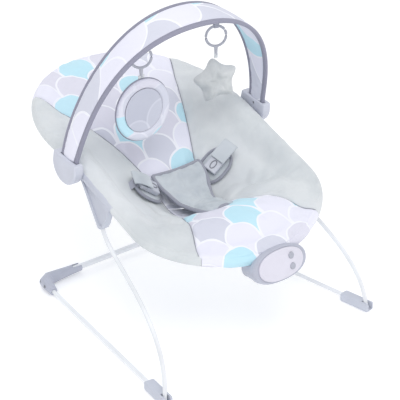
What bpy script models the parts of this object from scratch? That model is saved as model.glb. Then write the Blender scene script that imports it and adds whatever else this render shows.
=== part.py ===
"""Infant bouncer seat: wire base, sling seat, three-point harness, toy bar with toys, vibration unit.

Metres, +Z up. +Y points to the head end, -Y to the foot end with the vibration unit, and +X to the
right as seen from the foot end. Side is +1 for the right pieces and -1 for the left ones, and
multiplies X. The dimensions count Y from the middle of the wire base; the finished object is set
forward by BASE_OFFSET so that its origin is on the floor under the middle of its bounding box.
"""

import math

import bmesh
import bpy
from mathutils import Matrix, Vector

# Driving dimensions, in metres and degrees.
BASE_OFFSET = 0.0377
CLEARANCE = 0.0003
RUNNING_GAP = 0.0006

WIRE_RADIUS = 0.004
TUBE_RADIUS = 0.006
FOOT = Vector((0.240, -0.228, 0.0095))
HEEL = Vector((0.183, 0.228, 0.0095))
REAR_TUBE_HEIGHT = 0.0125
LEG_TOP = Vector((0.208, -0.016, 0.237))
LEG_TOP_HANDLE = Vector((0.201, -0.016, 0.177))
LEG_FOOT_HANDLE = Vector((0.222, -0.219, 0.150))
LEG_INSERTION = 0.020

SEAT_HALF_WIDTH = 0.205
HEM_INSET = 0.008
SIDE_FOOT_Y = -0.100
SIDE_HEAD_Y = 0.140
FOOT_ROUND = 0.132
HEAD_ROUND = 0.195
FOOT_POWER = 1.85
HEAD_POWER = 2.05
EDGE_HEIGHT = 0.293
EDGE_SLOPE = 0.39
HEAD_SLOPE = 0.25
EDGE_KINK_Y = 0.085
TUBE_JOINT_Y = 0.017
# Side view of the seat's middle line: (y, z).
MIDDLE_LINE = (
    (-0.235, 0.200), (-0.165, 0.243), (-0.120, 0.246), (-0.070, 0.219), (-0.020, 0.203),
    (0.016, 0.212), (0.060, 0.255), (0.120, 0.308), (0.190, 0.352), (0.260, 0.377), (0.335, 0.384),
)
# The crotch pad bridges the hollow of the seat: its top along the middle (y, z), and half its width (y, x).
PAD_LINE = ((-0.095, 0.2445), (-0.060, 0.2375), (-0.033, 0.2345), (0.000, 0.2400), (0.043, 0.2670))
PAD_HALF = (
    (-0.095, 0.0260), (-0.088, 0.0295), (-0.060, 0.0300), (-0.033, 0.0300), (-0.012, 0.0380),
    (0.014, 0.0500), (0.036, 0.0545), (0.043, 0.0530),
)
PAD_THICKNESS = 0.008
PAD_ROWS = 12
PAD_FOLLOWS_SLING = 0.35
PANEL_THICKNESS = 0.012
WAIST_HALF_WIDTH = 0.050
SEAM_SLOPE_HEAD = 0.50
SEAM_SLOPE_FOOT = 0.57
PANEL_SPLIT_Y = 0.005
# The panels share stations along Y, counted from the split; the seams reach the hem at the side ones.
PANEL_STEP = 0.019
HEAD_STATION = 16
FOOT_STATION = -10
SIDE_HEAD_STATION = 12
SIDE_FOOT_STATION = -9

# The bracket's two faces lean inwards, by this much for each metre above its toe.
BRACKET_INNER_X = 0.201
BRACKET_OUTER_X = 0.2165
BRACKET_INNER_LEAN = 0.16
BRACKET_OUTER_LEAN = 0.245
BRACKET_TOE_Z = 0.238
RECESS_DEPTH = 0.0024
SLEEVE_RADIUS = 0.0095
SLEEVE_FRONT_Y = -0.040
SLEEVE_REAR_Y = 0.083
BAR_PIVOT = Vector((0.0, 0.069, 0.3199))
PIVOT_PIN_RADIUS = 0.005

CAP_INNER_X = 0.2072
CAP_OUTER_X = 0.2262
BAR_FRONT_EDGE = (
    Vector((0.2141, 0.0425, 0.342)), Vector((0.2056, 0.0317, 0.380)),
    Vector((0.204, -0.025, 0.560)), Vector((0.0, -0.025, 0.560)),
)
BAR_REAR_EDGE = (
    Vector((0.2163, 0.086, 0.350)), Vector((0.2085, 0.071, 0.438)),
    Vector((0.141, 0.040, 0.582)), Vector((0.0, 0.040, 0.582)),
)
BAR_THICKNESS = 0.0076
STRIP_THICKNESS = 0.0022
BAR_STEPS = 18

TOY_X = 0.084
TOY_Y = 0.030
RING_RADIUS = 0.019
RING_WIRE = 0.0025
RING_TOP_Z = 0.527
RING_TURN = math.radians(-22)
STEM_END_Z = 0.4745
TOY_GAP = 0.0043
MIRROR_TOY_RADIUS = 0.0585
MIRROR_TOY_TURN = math.radians(-1)
MIRROR_SHARE = 0.69
STAR_RADIUS = 0.0465

UNIT_CENTRE = Vector((0.0, -0.243, 0.191))
UNIT_TILT = math.radians(16)
UNIT_HALF_WIDTH = 0.060
UNIT_HALF_HEIGHT = 0.031
UNIT_DEPTH = 0.046
PLATE_HALF_WIDTH = 0.050
PLATE_HALF_HEIGHT = 0.0268
BUTTON_X = 0.022
BUTTON_SPACING = 0.0196
BUTTON_RADIUS = 0.0060
BATTERY_RADIUS = 0.00725
# The battery, motor and weight lie on one line across the housing, below its middle and inside it.
DRIVE_HEIGHT = -0.0075
DRIVE_DEPTH = -0.0215
CAVITY_HALF = (0.0500, 0.0165)
MOUTH_HALF_WIDTH = 0.044

BUCKLE_CENTRE = Vector((0.0745, 0.021, 0.2610))
BUCKLE_ANGLE = math.radians(36)
BUCKLE_LEAN = 0.62
BUCKLE_SIZE = (0.034, 0.027, 0.010)

FRAME_WHITE = ("frame_white", (0.86, 0.87, 0.88), 0.35, 0.0)
GREY_PLASTIC = ("grey_plastic", (0.60, 0.62, 0.68), 0.45, 0.0)
PALE_PLASTIC = ("pale_plastic", (0.70, 0.71, 0.77), 0.40, 0.0)
FACE_PLASTIC = ("face_plastic", (0.80, 0.79, 0.85), 0.35, 0.0)
DARK_PLASTIC = ("dark_plastic", (0.38, 0.39, 0.44), 0.45, 0.0)
STEEL = ("steel", (0.55, 0.55, 0.57), 0.30, 1.0)
PRINT_FABRIC = ("print_fabric", (0.78, 0.80, 0.88), 0.85, 0.0)
PLUSH_FABRIC = ("plush_fabric", (0.68, 0.70, 0.69), 0.95, 0.0)
WEBBING = ("webbing", (0.50, 0.50, 0.55), 0.80, 0.0)
MIRROR_FILM = ("mirror_film", (0.72, 0.74, 0.80), 0.08, 1.0)
BOARD_GREEN = ("board_green", (0.05, 0.28, 0.14), 0.50, 0.0)
BATTERY_SLEEVE = ("battery_sleeve", (0.20, 0.22, 0.26), 0.40, 0.2)


# ---------------------------------------------------------------- building helpers

def clear_scene():
    for obj in list(bpy.data.objects):
        bpy.data.objects.remove(obj, do_unlink=True)


def material(spec):
    name, colour, roughness, metallic = spec
    found = bpy.data.materials.get(name)
    if found:
        return found
    made = bpy.data.materials.new(name)
    made.use_nodes = True
    shader = made.node_tree.nodes["Principled BSDF"]
    shader.inputs["Base Color"].default_value = (*colour, 1.0)
    shader.inputs["Roughness"].default_value = roughness
    shader.inputs["Metallic"].default_value = metallic
    return made


def add_object(name, data, spec, origin=(0, 0, 0)):
    obj = bpy.data.objects.new(name, data)
    bpy.context.collection.objects.link(obj)
    obj.location = origin
    data.materials.append(material(spec))
    return obj


def mesh_object(name, bm, spec, origin=(0, 0, 0), smooth_angle=35):
    """Turns bm, in world coordinates, into an object whose origin is at the given point."""
    bmesh.ops.recalc_face_normals(bm, faces=bm.faces)
    if bm.calc_volume(signed=True) < 0:
        bmesh.ops.reverse_faces(bm, faces=bm.faces)
    bmesh.ops.translate(bm, verts=bm.verts, vec=-Vector(origin))
    mesh = bpy.data.meshes.new(name)
    bm.to_mesh(mesh)
    bm.free()
    mesh.shade_smooth()
    mesh.set_sharp_from_angle(angle=math.radians(smooth_angle))
    return add_object(name, mesh, spec, origin)


def helper_shape(obj):
    obj.hide_render = True
    obj.display_type = "WIRE"
    return obj


def combine(obj, other, operation):
    helper_shape(other)
    modifier = obj.modifiers.new(operation.lower(), "BOOLEAN")
    modifier.operation = operation
    modifier.object = other
    modifier.solver = "EXACT"
    return obj


def cut(obj, cutter):
    return combine(obj, cutter, "DIFFERENCE")


def join(obj, other):
    return combine(obj, other, "UNION")


def bevel(obj, width, segments=2, angle=40):
    modifier = obj.modifiers.new("bevel", "BEVEL")
    modifier.width = width
    modifier.segments = segments
    modifier.limit_method = "ANGLE"
    modifier.angle_limit = math.radians(angle)
    return obj


def mirrored(point, side):
    return Vector((side * point[0], point[1], point[2]))


def side_name(stem, side):
    return f"{stem}_{'right' if side > 0 else 'left'}"


def bezier_point(controls, t):
    a, b, c, d = controls
    s = 1 - t
    return a * s ** 3 + b * 3 * s * s * t + c * 3 * s * t * t + d * t ** 3


def skin_rings(rings, closed_ends=True):
    """A tube skin over equal rings of points, with a cap face at each end."""
    bm = bmesh.new()
    layers = [[bm.verts.new(point) for point in ring] for ring in rings]
    count = len(layers[0])
    for low, high in zip(layers, layers[1:]):
        for i in range(count):
            j = (i + 1) % count
            bm.faces.new((low[i], low[j], high[j], high[i]))
    if closed_ends:
        bm.faces.new(layers[0])
        bm.faces.new(layers[-1])
    return bm


def loft(name, rings, spec, origin=(0, 0, 0), smooth_angle=35):
    return mesh_object(name, skin_rings(rings), spec, origin, smooth_angle)


def frame_matrix(origin, x_axis, z_hint):
    """A placement whose local X is x_axis and whose local Z is as near z_hint as it can be."""
    x = Vector(x_axis).normalized()
    y = Vector(z_hint).cross(x).normalized()
    z = x.cross(y)
    return Matrix.Translation(origin) @ Matrix((x, y, z)).transposed().to_4x4()


def block(name, matrix, low, high, spec, origin=(0, 0, 0)):
    """A box between two local corners, placed by matrix."""
    bm = bmesh.new()
    size = Vector(high) - Vector(low)
    middle = (Vector(high) + Vector(low)) / 2
    local = matrix @ Matrix.Translation(middle) @ Matrix.Diagonal((*size, 1.0))
    bmesh.ops.create_cube(bm, size=1.0, matrix=local)
    return mesh_object(name, bm, spec, origin)


def cylinder(name, start, end, radius, spec, sides=16, origin=(0, 0, 0)):
    start = Vector(start)
    along = Vector(end) - start
    bm = bmesh.new()
    place = Matrix.Translation(start + along / 2) @ along.to_track_quat("Z", "Y").to_matrix().to_4x4()
    bmesh.ops.create_cone(
        bm, cap_ends=True, segments=sides, radius1=radius, radius2=radius,
        depth=along.length, matrix=place,
    )
    return mesh_object(name, bm, spec, origin)


def rod(name, points, radius, spec, roundness=3, widths=None):
    """A round rod along points; widths scale its radius at each of them."""
    curve = bpy.data.curves.new(name, "CURVE")
    curve.dimensions = "3D"
    curve.bevel_depth = radius
    curve.bevel_resolution = roundness
    curve.use_fill_caps = True
    spline = curve.splines.new("POLY")
    spline.points.add(len(points) - 1)
    for i, (knot, place) in enumerate(zip(spline.points, points)):
        knot.co = (*place, 1.0)
        knot.radius = widths[i] if widths else 1.0
    spline.use_smooth = True
    return add_object(name, curve, spec)


def rod_mesh(name, points, radius, spec, sides=12, widths=None):
    """The same rod as a closed mesh, for shapes that take part in a Boolean."""
    rings = []
    for i, place in enumerate(points):
        before = Vector(points[max(i - 1, 0)])
        after = Vector(points[min(i + 1, len(points) - 1)])
        matrix = frame_matrix(place, after - before, (0, 0, 1))
        size = radius * (widths[i] if widths else 1.0)
        angles = [2 * math.pi * k / sides for k in range(sides)]
        rings.append([matrix @ Vector((0, size * math.cos(a), size * math.sin(a))) for a in angles])
    return loft(name, rings, spec, smooth_angle=60)


def screw(name, head, inward, radius=0.0030, length=0.009, head_height=0.0016):
    """A pan-head screw with a round drive recess; head is the middle of the head's outer face."""
    inward = Vector(inward).normalized()
    matrix = frame_matrix(head, inward, (0, 0, 1) if abs(inward.z) < 0.9 else (0, 1, 0))
    profile = (
        (0.0006, 0.4 * radius), (0.0, 0.55 * radius), (0.0003, 0.85 * radius), (0.0008, radius),
        (head_height, radius), (head_height, 0.5 * radius), (length, 0.45 * radius),
    )
    angles = [2 * math.pi * k / 10 for k in range(10)]
    rings = [
        [matrix @ Vector((depth, r * math.cos(a), r * math.sin(a))) for a in angles]
        for depth, r in profile
    ]
    return loft(name, rings, STEEL, smooth_angle=30)


def screw_hole(obj, head, inward, radius=0.0030, length=0.009):
    inward = Vector(inward).normalized()
    start = Vector(head) - inward * 0.008
    end = Vector(head) + inward * (length + CLEARANCE)
    hole = cylinder(f"{obj.name}_screw_hole_cutter", start, end, radius + CLEARANCE, STEEL, sides=12)
    return cut(obj, hole)


# ---------------------------------------------------------------- seat shape

def hermite(points, at):
    """A smooth line through (position, value) points, flat beyond its two ends."""
    if at <= points[0][0]:
        return points[0][1]
    for i in range(len(points) - 1):
        (x0, y0), (x1, y1) = points[i], points[i + 1]
        if at > x1:
            continue
        before = points[max(i - 1, 0)]
        after = points[min(i + 2, len(points) - 1)]
        slope0 = (y1 - before[1]) / (x1 - before[0])
        slope1 = (after[1] - y0) / (after[0] - x0)
        step = x1 - x0
        t = (at - x0) / step
        return (
            y0 * (2 * t ** 3 - 3 * t * t + 1) + slope0 * step * (t ** 3 - 2 * t * t + t)
            + y1 * (3 * t * t - 2 * t ** 3) + slope1 * step * (t ** 3 - t * t)
        )
    return points[-1][1]


def edge_height(y):
    """Height of the frame tube: two straight runs that meet at the bar's pivot."""
    if y < EDGE_KINK_Y:
        return EDGE_HEIGHT + EDGE_SLOPE * y
    return EDGE_HEIGHT + EDGE_SLOPE * EDGE_KINK_Y + HEAD_SLOPE * (y - EDGE_KINK_Y)


def half_width(y, inset=0.0):
    """Half the seat's width at y, with its hem drawn in by inset all round."""
    width = SEAT_HALF_WIDTH - inset
    if y < SIDE_FOOT_Y:
        part, power = (SIDE_FOOT_Y - y) / (FOOT_ROUND - inset), FOOT_POWER
    elif y > SIDE_HEAD_Y:
        part, power = (y - SIDE_HEAD_Y) / (HEAD_ROUND - inset), HEAD_POWER
    else:
        return width
    return width * max(1 - part ** power, 0.0) ** (1 / power)


def seam_half_width(y):
    """Where the printed middle panels meet the plush side panels."""
    if y > PANEL_SPLIT_Y:
        return WAIST_HALF_WIDTH + SEAM_SLOPE_HEAD * max(y - 0.045, 0.0)
    return WAIST_HALF_WIDTH + SEAM_SLOPE_FOOT * max(-0.040 - y, 0.0)


def surface_height(x, y):
    """Top of the sling: it hangs between the frame tubes and is deepest under the child's seat."""
    width = max(half_width(y, HEM_INSET), 0.02)
    share = 1 - min(abs(x) / width, 1.0) ** 1.5
    return edge_height(y) + (hermite(MIDDLE_LINE, y) - edge_height(y)) * share


def loop_points(end, count=19):
    """The frame tube round one end of the seat: end is +1 at the head and -1 at the foot."""
    start = TUBE_JOINT_Y + 0.0005 * end
    if end > 0:
        centre, reach, power = SIDE_HEAD_Y, HEAD_ROUND - HEM_INSET, HEAD_POWER
    else:
        centre, reach, power = SIDE_FOOT_Y, FOOT_ROUND - HEM_INSET, FOOT_POWER
    width = SEAT_HALF_WIDTH - HEM_INSET
    straight = [start, EDGE_KINK_Y - 0.006, EDGE_KINK_Y + 0.008] if end > 0 else [start]
    quarter = [(width, y) for y in straight]
    for i in range(count):
        angle = math.pi / 2 * i / (count - 1)
        x = width * math.cos(angle) ** (2 / power)
        y = centre + end * reach * math.sin(angle) ** (2 / power)
        quarter.append((x, y))
    whole = quarter + [(-x, y) for x, y in reversed(quarter[:-1])]
    return [Vector((x, y, edge_height(y))) for x, y in whole]


def pad_height(x, y):
    """Top of the crotch pad: its arms rise a little towards the buckles, with the sling."""
    return hermite(PAD_LINE, y) + PAD_FOLLOWS_SLING * (surface_height(x, y) - surface_height(0, y))


def soft_slab(name, rows, thickness, spec, height=surface_height):
    """A closed pad over rows of (x, y) points, under a top face given by height."""
    bm = bmesh.new()
    top = [[bm.verts.new((x, y, height(x, y))) for x, y in row] for row in rows]
    low = [[bm.verts.new((x, y, height(x, y) - thickness)) for x, y in row] for row in rows]
    for i in range(len(rows) - 1):
        for j in range(len(rows[0]) - 1):
            bm.faces.new((top[i][j], top[i][j + 1], top[i + 1][j + 1], top[i + 1][j]))
            bm.faces.new((low[i][j], low[i + 1][j], low[i + 1][j + 1], low[i][j + 1]))
    rim_top = top[0] + [row[-1] for row in top[1:-1]] + top[-1][::-1] + [row[0] for row in top[-2:0:-1]]
    rim_low = low[0] + [row[-1] for row in low[1:-1]] + low[-1][::-1] + [row[0] for row in low[-2:0:-1]]
    for i in range(len(rim_top)):
        j = (i + 1) % len(rim_top)
        bm.faces.new((rim_top[i], rim_low[i], rim_low[j], rim_top[j]))
    return mesh_object(name, bm, spec)


def panel_rows(first, last, left_of, right_of, columns, shift=0.0):
    """Rows of points at the shared stations first to last, between two edges given as functions of y."""
    rows = []
    for station in range(first, last + 1):
        y = PANEL_SPLIT_Y + station * PANEL_STEP
        y += shift if station == 0 else 0.0
        low, high = left_of(y), right_of(y)
        rows.append([(low + (high - low) * j / (columns - 1), y) for j in range(columns)])
    return rows


# ---------------------------------------------------------------- base

def floor_direction(side):
    return (mirrored(FOOT, side) - mirrored(HEEL, side)).normalized()


def rear_tube():
    reach = HEEL.x - 0.016
    points = [Vector((x, HEEL.y, REAR_TUBE_HEIGHT)) for x in (-reach, 0.0, reach)]
    rod("rear_cross_tube", points, TUBE_RADIUS, FRAME_WHITE)


def rear_elbow(side):
    """Moulded corner: it cradles the end of the cross tube and grips the floor wire."""
    heel = mirrored(HEEL, side)
    along = floor_direction(side)
    corner = heel + Vector((0, 0, REAR_TUBE_HEIGHT - HEEL.z))
    path = [
        Vector((side * 0.097, HEEL.y, REAR_TUBE_HEIGHT)), Vector((side * 0.118, HEEL.y, REAR_TUBE_HEIGHT)),
        Vector((side * 0.146, HEEL.y, REAR_TUBE_HEIGHT)), corner + Vector((-side * 0.012, -0.001, 0)),
        corner + Vector((-side * 0.001, -0.008, 0)), corner + along * 0.022, heel + along * 0.044,
    ]
    widths = [0.78, 0.84, 0.98, 1.16, 1.18, 1.0, 0.72]
    elbow = rod_mesh(side_name("rear_elbow", side), path, 0.011, GREY_PLASTIC, 14, widths)
    below_low, below_high = (side * 0.15 - 0.1, 0.1, -0.03), (side * 0.15 + 0.1, 0.3, 0.0)
    cut(elbow, block(f"{elbow.name}_floor_cutter", Matrix(), below_low, below_high, STEEL))
    tube_end = Vector((side * (HEEL.x - 0.0155), HEEL.y, REAR_TUBE_HEIGHT))
    tube_start = Vector((side * 0.080, HEEL.y, REAR_TUBE_HEIGHT))
    bore = TUBE_RADIUS + CLEARANCE
    cut(elbow, cylinder(f"{elbow.name}_tube_cutter", tube_start, tube_end, bore, STEEL, 20))
    wire_start, wire_out = heel + along * 0.0195, heel + along * 0.06
    cut(elbow, cylinder(f"{elbow.name}_wire_cutter", wire_start, wire_out, WIRE_RADIUS + CLEARANCE, STEEL))
    # The saddle's mouth is a little narrower than the tube, which snaps down into it.
    mouth = TUBE_RADIUS - CLEARANCE
    saddle_low = (min(side * 0.080, side * 0.116), HEEL.y - mouth, REAR_TUBE_HEIGHT)
    saddle_high = (max(side * 0.080, side * 0.116), HEEL.y + mouth, REAR_TUBE_HEIGHT + 0.02)
    cut(elbow, block(f"{elbow.name}_saddle_cutter", Matrix(), saddle_low, saddle_high, STEEL))
    heads = (
        ("rear", Vector((side * 0.1925, 0.2245, 0.015)), Vector((-side, -0.35, 0))),
        ("side", Vector((side * 0.1975, 0.2040, 0.0135)), Vector((-side, 0.05, 0))),
    )
    for label, head, inward in heads:
        screw_hole(elbow, head, inward, length=0.008)
        screw(side_name(f"elbow_{label}_screw", side), head, inward, length=0.008)


def floor_wire(side):
    heel = mirrored(HEEL, side)
    along = floor_direction(side)
    length = (mirrored(FOOT, side) - heel).length
    points = [heel + along * 0.0205, heel + along * (length / 2), heel + along * (length - 0.0080)]
    rod(side_name("floor_wire", side), points, WIRE_RADIUS, FRAME_WHITE)


def front_foot(side):
    """Clip-on pad under the bend, slotted where the upright part of the wire rises and flexes."""
    foot = Vector((side * FOOT.x, FOOT.y, 0.0))
    matrix = frame_matrix(foot, floor_direction(side), (0, 0, 1))
    low, high = (-0.055, -0.0105, 0.0), (0.0105, 0.0105, 0.0165)
    pad = block(side_name("front_foot", side), matrix, low, high, GREY_PLASTIC)
    bevel(pad, 0.0035, 2)
    middle = Vector((0, 0, FOOT.z))
    bore_start = matrix @ (middle + Vector((-0.07, 0, 0)))
    bore_end = matrix @ (middle + Vector((-0.0040, 0, 0)))
    cut(pad, cylinder(f"{pad.name}_bore_cutter", bore_start, bore_end, WIRE_RADIUS + CLEARANCE, STEEL))
    cut(pad, block(
        f"{pad.name}_slot_cutter", matrix, (-0.0062, -0.0053, 0.0030), (0.02, 0.0053, 0.03), STEEL,
    ))


def wire_end(side):
    """The end of the leg wire, inside the leaning bracket."""
    return mirrored(LEG_TOP, side) + Vector((-side * 0.2, 0.1, 1.0)) * LEG_INSERTION


def upright_points(side):
    controls = [mirrored(p, side) for p in (LEG_TOP, LEG_TOP_HANDLE, LEG_FOOT_HANDLE, FOOT)]
    points = [wire_end(side)]
    points += [bezier_point(controls, i / 22) for i in range(23)]
    points.append(controls[3] - Vector((0, 0, 0.0040)))
    return points


def upright_wire(side):
    rod(side_name("leg_wire", side), upright_points(side), WIRE_RADIUS, FRAME_WHITE)


# ---------------------------------------------------------------- side brackets

def prism_x(name, outline, x_low, x_high, side, origin=(0, 0, 0), leans=(0.0, 0.0)):
    """A moulded outline in (y, z) given a thickness along X; each face may lean inwards above the bracket's toe."""
    bm = bmesh.new()
    inner = [bm.verts.new((side * (x_low - leans[0] * (z - BRACKET_TOE_Z)), y, z)) for y, z in outline]
    outer = [bm.verts.new((side * (x_high - leans[1] * (z - BRACKET_TOE_Z)), y, z)) for y, z in outline]
    bm.faces.new(inner)
    bm.faces.new(outer)
    for i in range(len(outline)):
        j = (i + 1) % len(outline)
        bm.faces.new((inner[i], inner[j], outer[j], outer[i]))
    return mesh_object(name, bm, PALE_PLASTIC, origin)


def side_bracket(side):
    """Triangular bracket: a sleeve round the joint of the frame tubes, with the leg wire in its toe."""
    front_y, rear_y = -0.0350, 0.0610
    outline = [
        (front_y, edge_height(front_y) - 0.001), (-0.0275, 0.2470), (-0.0235, 0.2395),
        (-0.0180, BRACKET_TOE_Z), (-0.0125, 0.2388), (rear_y - 0.002, 0.3035),
        (rear_y, edge_height(rear_y) - 0.007), (rear_y - 0.002, edge_height(rear_y - 0.002) - 0.001),
    ]
    bracket = prism_x(
        side_name("side_bracket", side), outline, BRACKET_INNER_X, BRACKET_OUTER_X, side,
        leans=(BRACKET_INNER_LEAN, BRACKET_OUTER_LEAN),
    )
    recess_outline = [(-0.0220, 0.2440), (-0.0136, 0.2440), (0.0499, 0.3015), (-0.0284, 0.2709)]
    cut(bracket, prism_x(
        f"{bracket.name}_recess_cutter", recess_outline, BRACKET_OUTER_X - RECESS_DEPTH, BRACKET_OUTER_X + 0.01,
        side, leans=(BRACKET_OUTER_LEAN, BRACKET_OUTER_LEAN),
    ))
    tube_x = side * (SEAT_HALF_WIDTH - HEM_INSET)
    ends = [Vector((tube_x, y, edge_height(y))) for y in (SLEEVE_FRONT_Y, SLEEVE_REAR_Y)]
    join(bracket, cylinder(f"{bracket.name}_sleeve", ends[0], ends[1], SLEEVE_RADIUS, PALE_PLASTIC, 20))
    pin = [Vector((side * x, BAR_PIVOT.y, BAR_PIVOT.z)) for x in (0.2045, 0.2152)]
    join(bracket, cylinder(f"{bracket.name}_pin", pin[0], pin[1], PIVOT_PIN_RADIUS, PALE_PLASTIC, 20))
    reach = (ends[1] - ends[0]).normalized() * 0.01
    cut(bracket, cylinder(
        f"{bracket.name}_tube_cutter", ends[0] - reach, ends[1] + reach, TUBE_RADIUS + CLEARANCE, STEEL, 20,
    ))
    wire_top = mirrored(LEG_TOP, side)
    along = (wire_end(side) - wire_top).normalized()
    cut(bracket, cylinder(
        f"{bracket.name}_wire_cutter", wire_top - along * 0.02, wire_end(side) + along * CLEARANCE,
        WIRE_RADIUS + CLEARANCE, STEEL,
    ))
    cover_outline = [
        (-0.0285, 0.2690), (-0.0230, 0.2510), (-0.0150, 0.2480), (0.0310, 0.2885), (0.0310, 0.2925),
    ]
    cover = prism_x(
        side_name("bracket_cover", side), cover_outline, BRACKET_INNER_X - 0.0023,
        BRACKET_INNER_X - CLEARANCE, side, leans=(BRACKET_INNER_LEAN, BRACKET_INNER_LEAN),
    )
    head_z = 0.2690
    lean = BRACKET_INNER_LEAN * (head_z - BRACKET_TOE_Z)
    head = Vector((side * (BRACKET_INNER_X - 0.0031 - lean), -0.005, head_z))
    inward = Vector((side, 0, BRACKET_INNER_LEAN))
    for piece in (bracket, cover):
        screw_hole(piece, head, inward, radius=0.0028, length=0.0075)
    screw(side_name("bracket_screw", side), head, inward, radius=0.0028, length=0.0075)


# ---------------------------------------------------------------- seat

def seat_frame():
    rod("upper_seat_tube", loop_points(1), TUBE_RADIUS, FRAME_WHITE)
    rod("lower_seat_tube", loop_points(-1), TUBE_RADIUS, FRAME_WHITE)


def seat_panels():
    """The sling's four sewn panels; the hem that wraps the tubes isn't part of them."""
    clear_of_tube = HEM_INSET + SLEEVE_RADIUS + 0.001
    gap = 0.0006

    def outer(y):
        return half_width(y, clear_of_tube)

    def middle(y):
        return min(seam_half_width(y) - gap, outer(y) - 0.002)

    back = panel_rows(0, HEAD_STATION, lambda y: -middle(y), middle, 9, gap)
    soft_slab("back_panel", back, PANEL_THICKNESS, PRINT_FABRIC)
    seat = panel_rows(FOOT_STATION, 0, lambda y: -middle(y), middle, 9, -gap)
    soft_slab("seat_panel", seat, PANEL_THICKNESS, PRINT_FABRIC)
    for side in (1, -1):
        rows = panel_rows(
            SIDE_FOOT_STATION, SIDE_HEAD_STATION,
            lambda y: side * (seam_half_width(y) + gap), lambda y: side * outer(y), 6,
        )
        soft_slab(side_name("side_panel", side), rows, PANEL_THICKNESS, PLUSH_FABRIC)


def crotch_pad():
    """T-shaped pad: its stem is sewn to the seat in front and its arms carry the buckle sockets."""
    front, rear = PAD_HALF[0][0], PAD_HALF[-1][0]
    rows = []
    for i in range(PAD_ROWS + 1):
        y = front + (rear - front) * i / PAD_ROWS
        width = hermite(PAD_HALF, y)
        rows.append([(width * (j / 3 - 1), y) for j in range(7)])
    soft_slab("crotch_pad", rows, PAD_THICKNESS, PLUSH_FABRIC, pad_height)


def buckle_matrix(side):
    outward = Vector((side * math.cos(BUCKLE_ANGLE), 0, math.sin(BUCKLE_ANGLE)))
    tilt = Vector((-side * math.sin(BUCKLE_ANGLE), -BUCKLE_LEAN, math.cos(BUCKLE_ANGLE)))
    return frame_matrix(mirrored(BUCKLE_CENTRE, side), outward, tilt)


def buckle(side):
    """Side-release buckle: the tongue's two prongs slide into the socket."""
    matrix = buckle_matrix(side)
    length, width, height = BUCKLE_SIZE
    socket = block(
        side_name("buckle_socket", side), matrix, (-length / 2, -width / 2, -height / 2),
        (length / 2, width / 2, height / 2), DARK_PLASTIC,
    )
    bevel(socket, 0.0022, 2)
    cut(socket, block(
        f"{socket.name}_slot_cutter", matrix, (-length / 2 + 0.006, -width / 2 + 0.0028, -0.0023),
        (length, width / 2 - 0.0028, 0.0023), STEEL,
    ))
    plate_start = length / 2 + RUNNING_GAP
    tongue = block(
        side_name("buckle_tongue", side), matrix, (plate_start - 0.0002, -width / 2, -0.0040),
        (plate_start + 0.013, width / 2, 0.0040), DARK_PLASTIC,
    )
    bevel(tongue, 0.0015, 2)
    cut(tongue, block(
        f"{tongue.name}_slot_cutter", matrix, (plate_start + 0.006, -width / 2 + 0.004, -0.01),
        (plate_start + 0.0095, width / 2 - 0.004, 0.01), STEEL,
    ))
    prong_end = plate_start + 0.004
    for label, low, high in (("a", -0.0098, -0.0052), ("b", 0.0052, 0.0098)):
        corners = (-0.007, low, -0.0017), (prong_end, high, 0.0017)
        join(tongue, block(f"{tongue.name}_prong_{label}", matrix, *corners, DARK_PLASTIC))


def waist_strap(side):
    """Webbing from the buckle tongue to the side panel's seam."""
    matrix = buckle_matrix(side)
    reach = BUCKLE_SIZE[0] / 2 + RUNNING_GAP + 0.0135
    half, thick = 0.0095, 0.0008
    # The strap leaves the tongue in its own plane and comes down to the side panel.
    route = [(0.0, 0.0), (0.010, 0.0035), (0.022, 0.0025)]
    rings = []
    for out, up in route:
        centre = matrix @ Vector((reach + out, 0, up))
        across = matrix.to_3x3() @ Vector((0, 1, 0))
        normal = matrix.to_3x3() @ Vector((0, 0, 1))
        rings.append([
            centre + across * half + normal * thick, centre - across * half + normal * thick,
            centre - across * half - normal * thick, centre + across * half - normal * thick,
        ])
    loft(side_name("waist_strap", side), rings, WEBBING)


# ---------------------------------------------------------------- toy bar

def bar_section(t):
    """Centre, across and outward directions, width and line of the bar at t, from -1 (left) to 1 (right)."""
    side = 1 if t >= 0 else -1
    part = 1 - abs(t)

    def edges(at):
        front = mirrored(bezier_point(BAR_FRONT_EDGE, at), side)
        rear = mirrored(bezier_point(BAR_REAR_EDGE, at), side)
        return front, rear

    front, rear = edges(part)
    low, high = max(part - 0.01, 0.0), min(part + 0.01, 1.0)
    before, after = [sum(edges(at), Vector()) / 2 for at in (low, high)]
    along = (after - before).normalized() * -side
    if part > 0.995:
        along = Vector((1, 0, 0))
    across = (rear - front).normalized()
    outward = across.cross(along).normalized()
    if outward.z < 0 and part > 0.5 or outward.x * side < 0 and part <= 0.5:
        outward = -outward
    return (front + rear) / 2, across, outward, (rear - front).length, along


def bar_stations(extension):
    """Evenly spread sections over the bar, each end carried straight on into its cap."""
    values = [i / BAR_STEPS for i in range(-BAR_STEPS, BAR_STEPS + 1)]
    sections = [bar_section(t) for t in values]
    for index, sign in ((0, -1), (-1, 1)):
        centre, across, outward, width, along = sections[index]
        moved = (centre + along * sign * extension, across, outward, width, along)
        sections.insert(0 if index == 0 else len(sections), moved)
    return sections


def bar_ring(section, width_change, thickness):
    centre, across, outward, width, _ = section
    half = width / 2 + width_change
    return [
        centre + across * half + outward * thickness / 2, centre - across * half + outward * thickness / 2,
        centre - across * half - outward * thickness / 2, centre + across * half - outward * thickness / 2,
    ]


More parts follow.
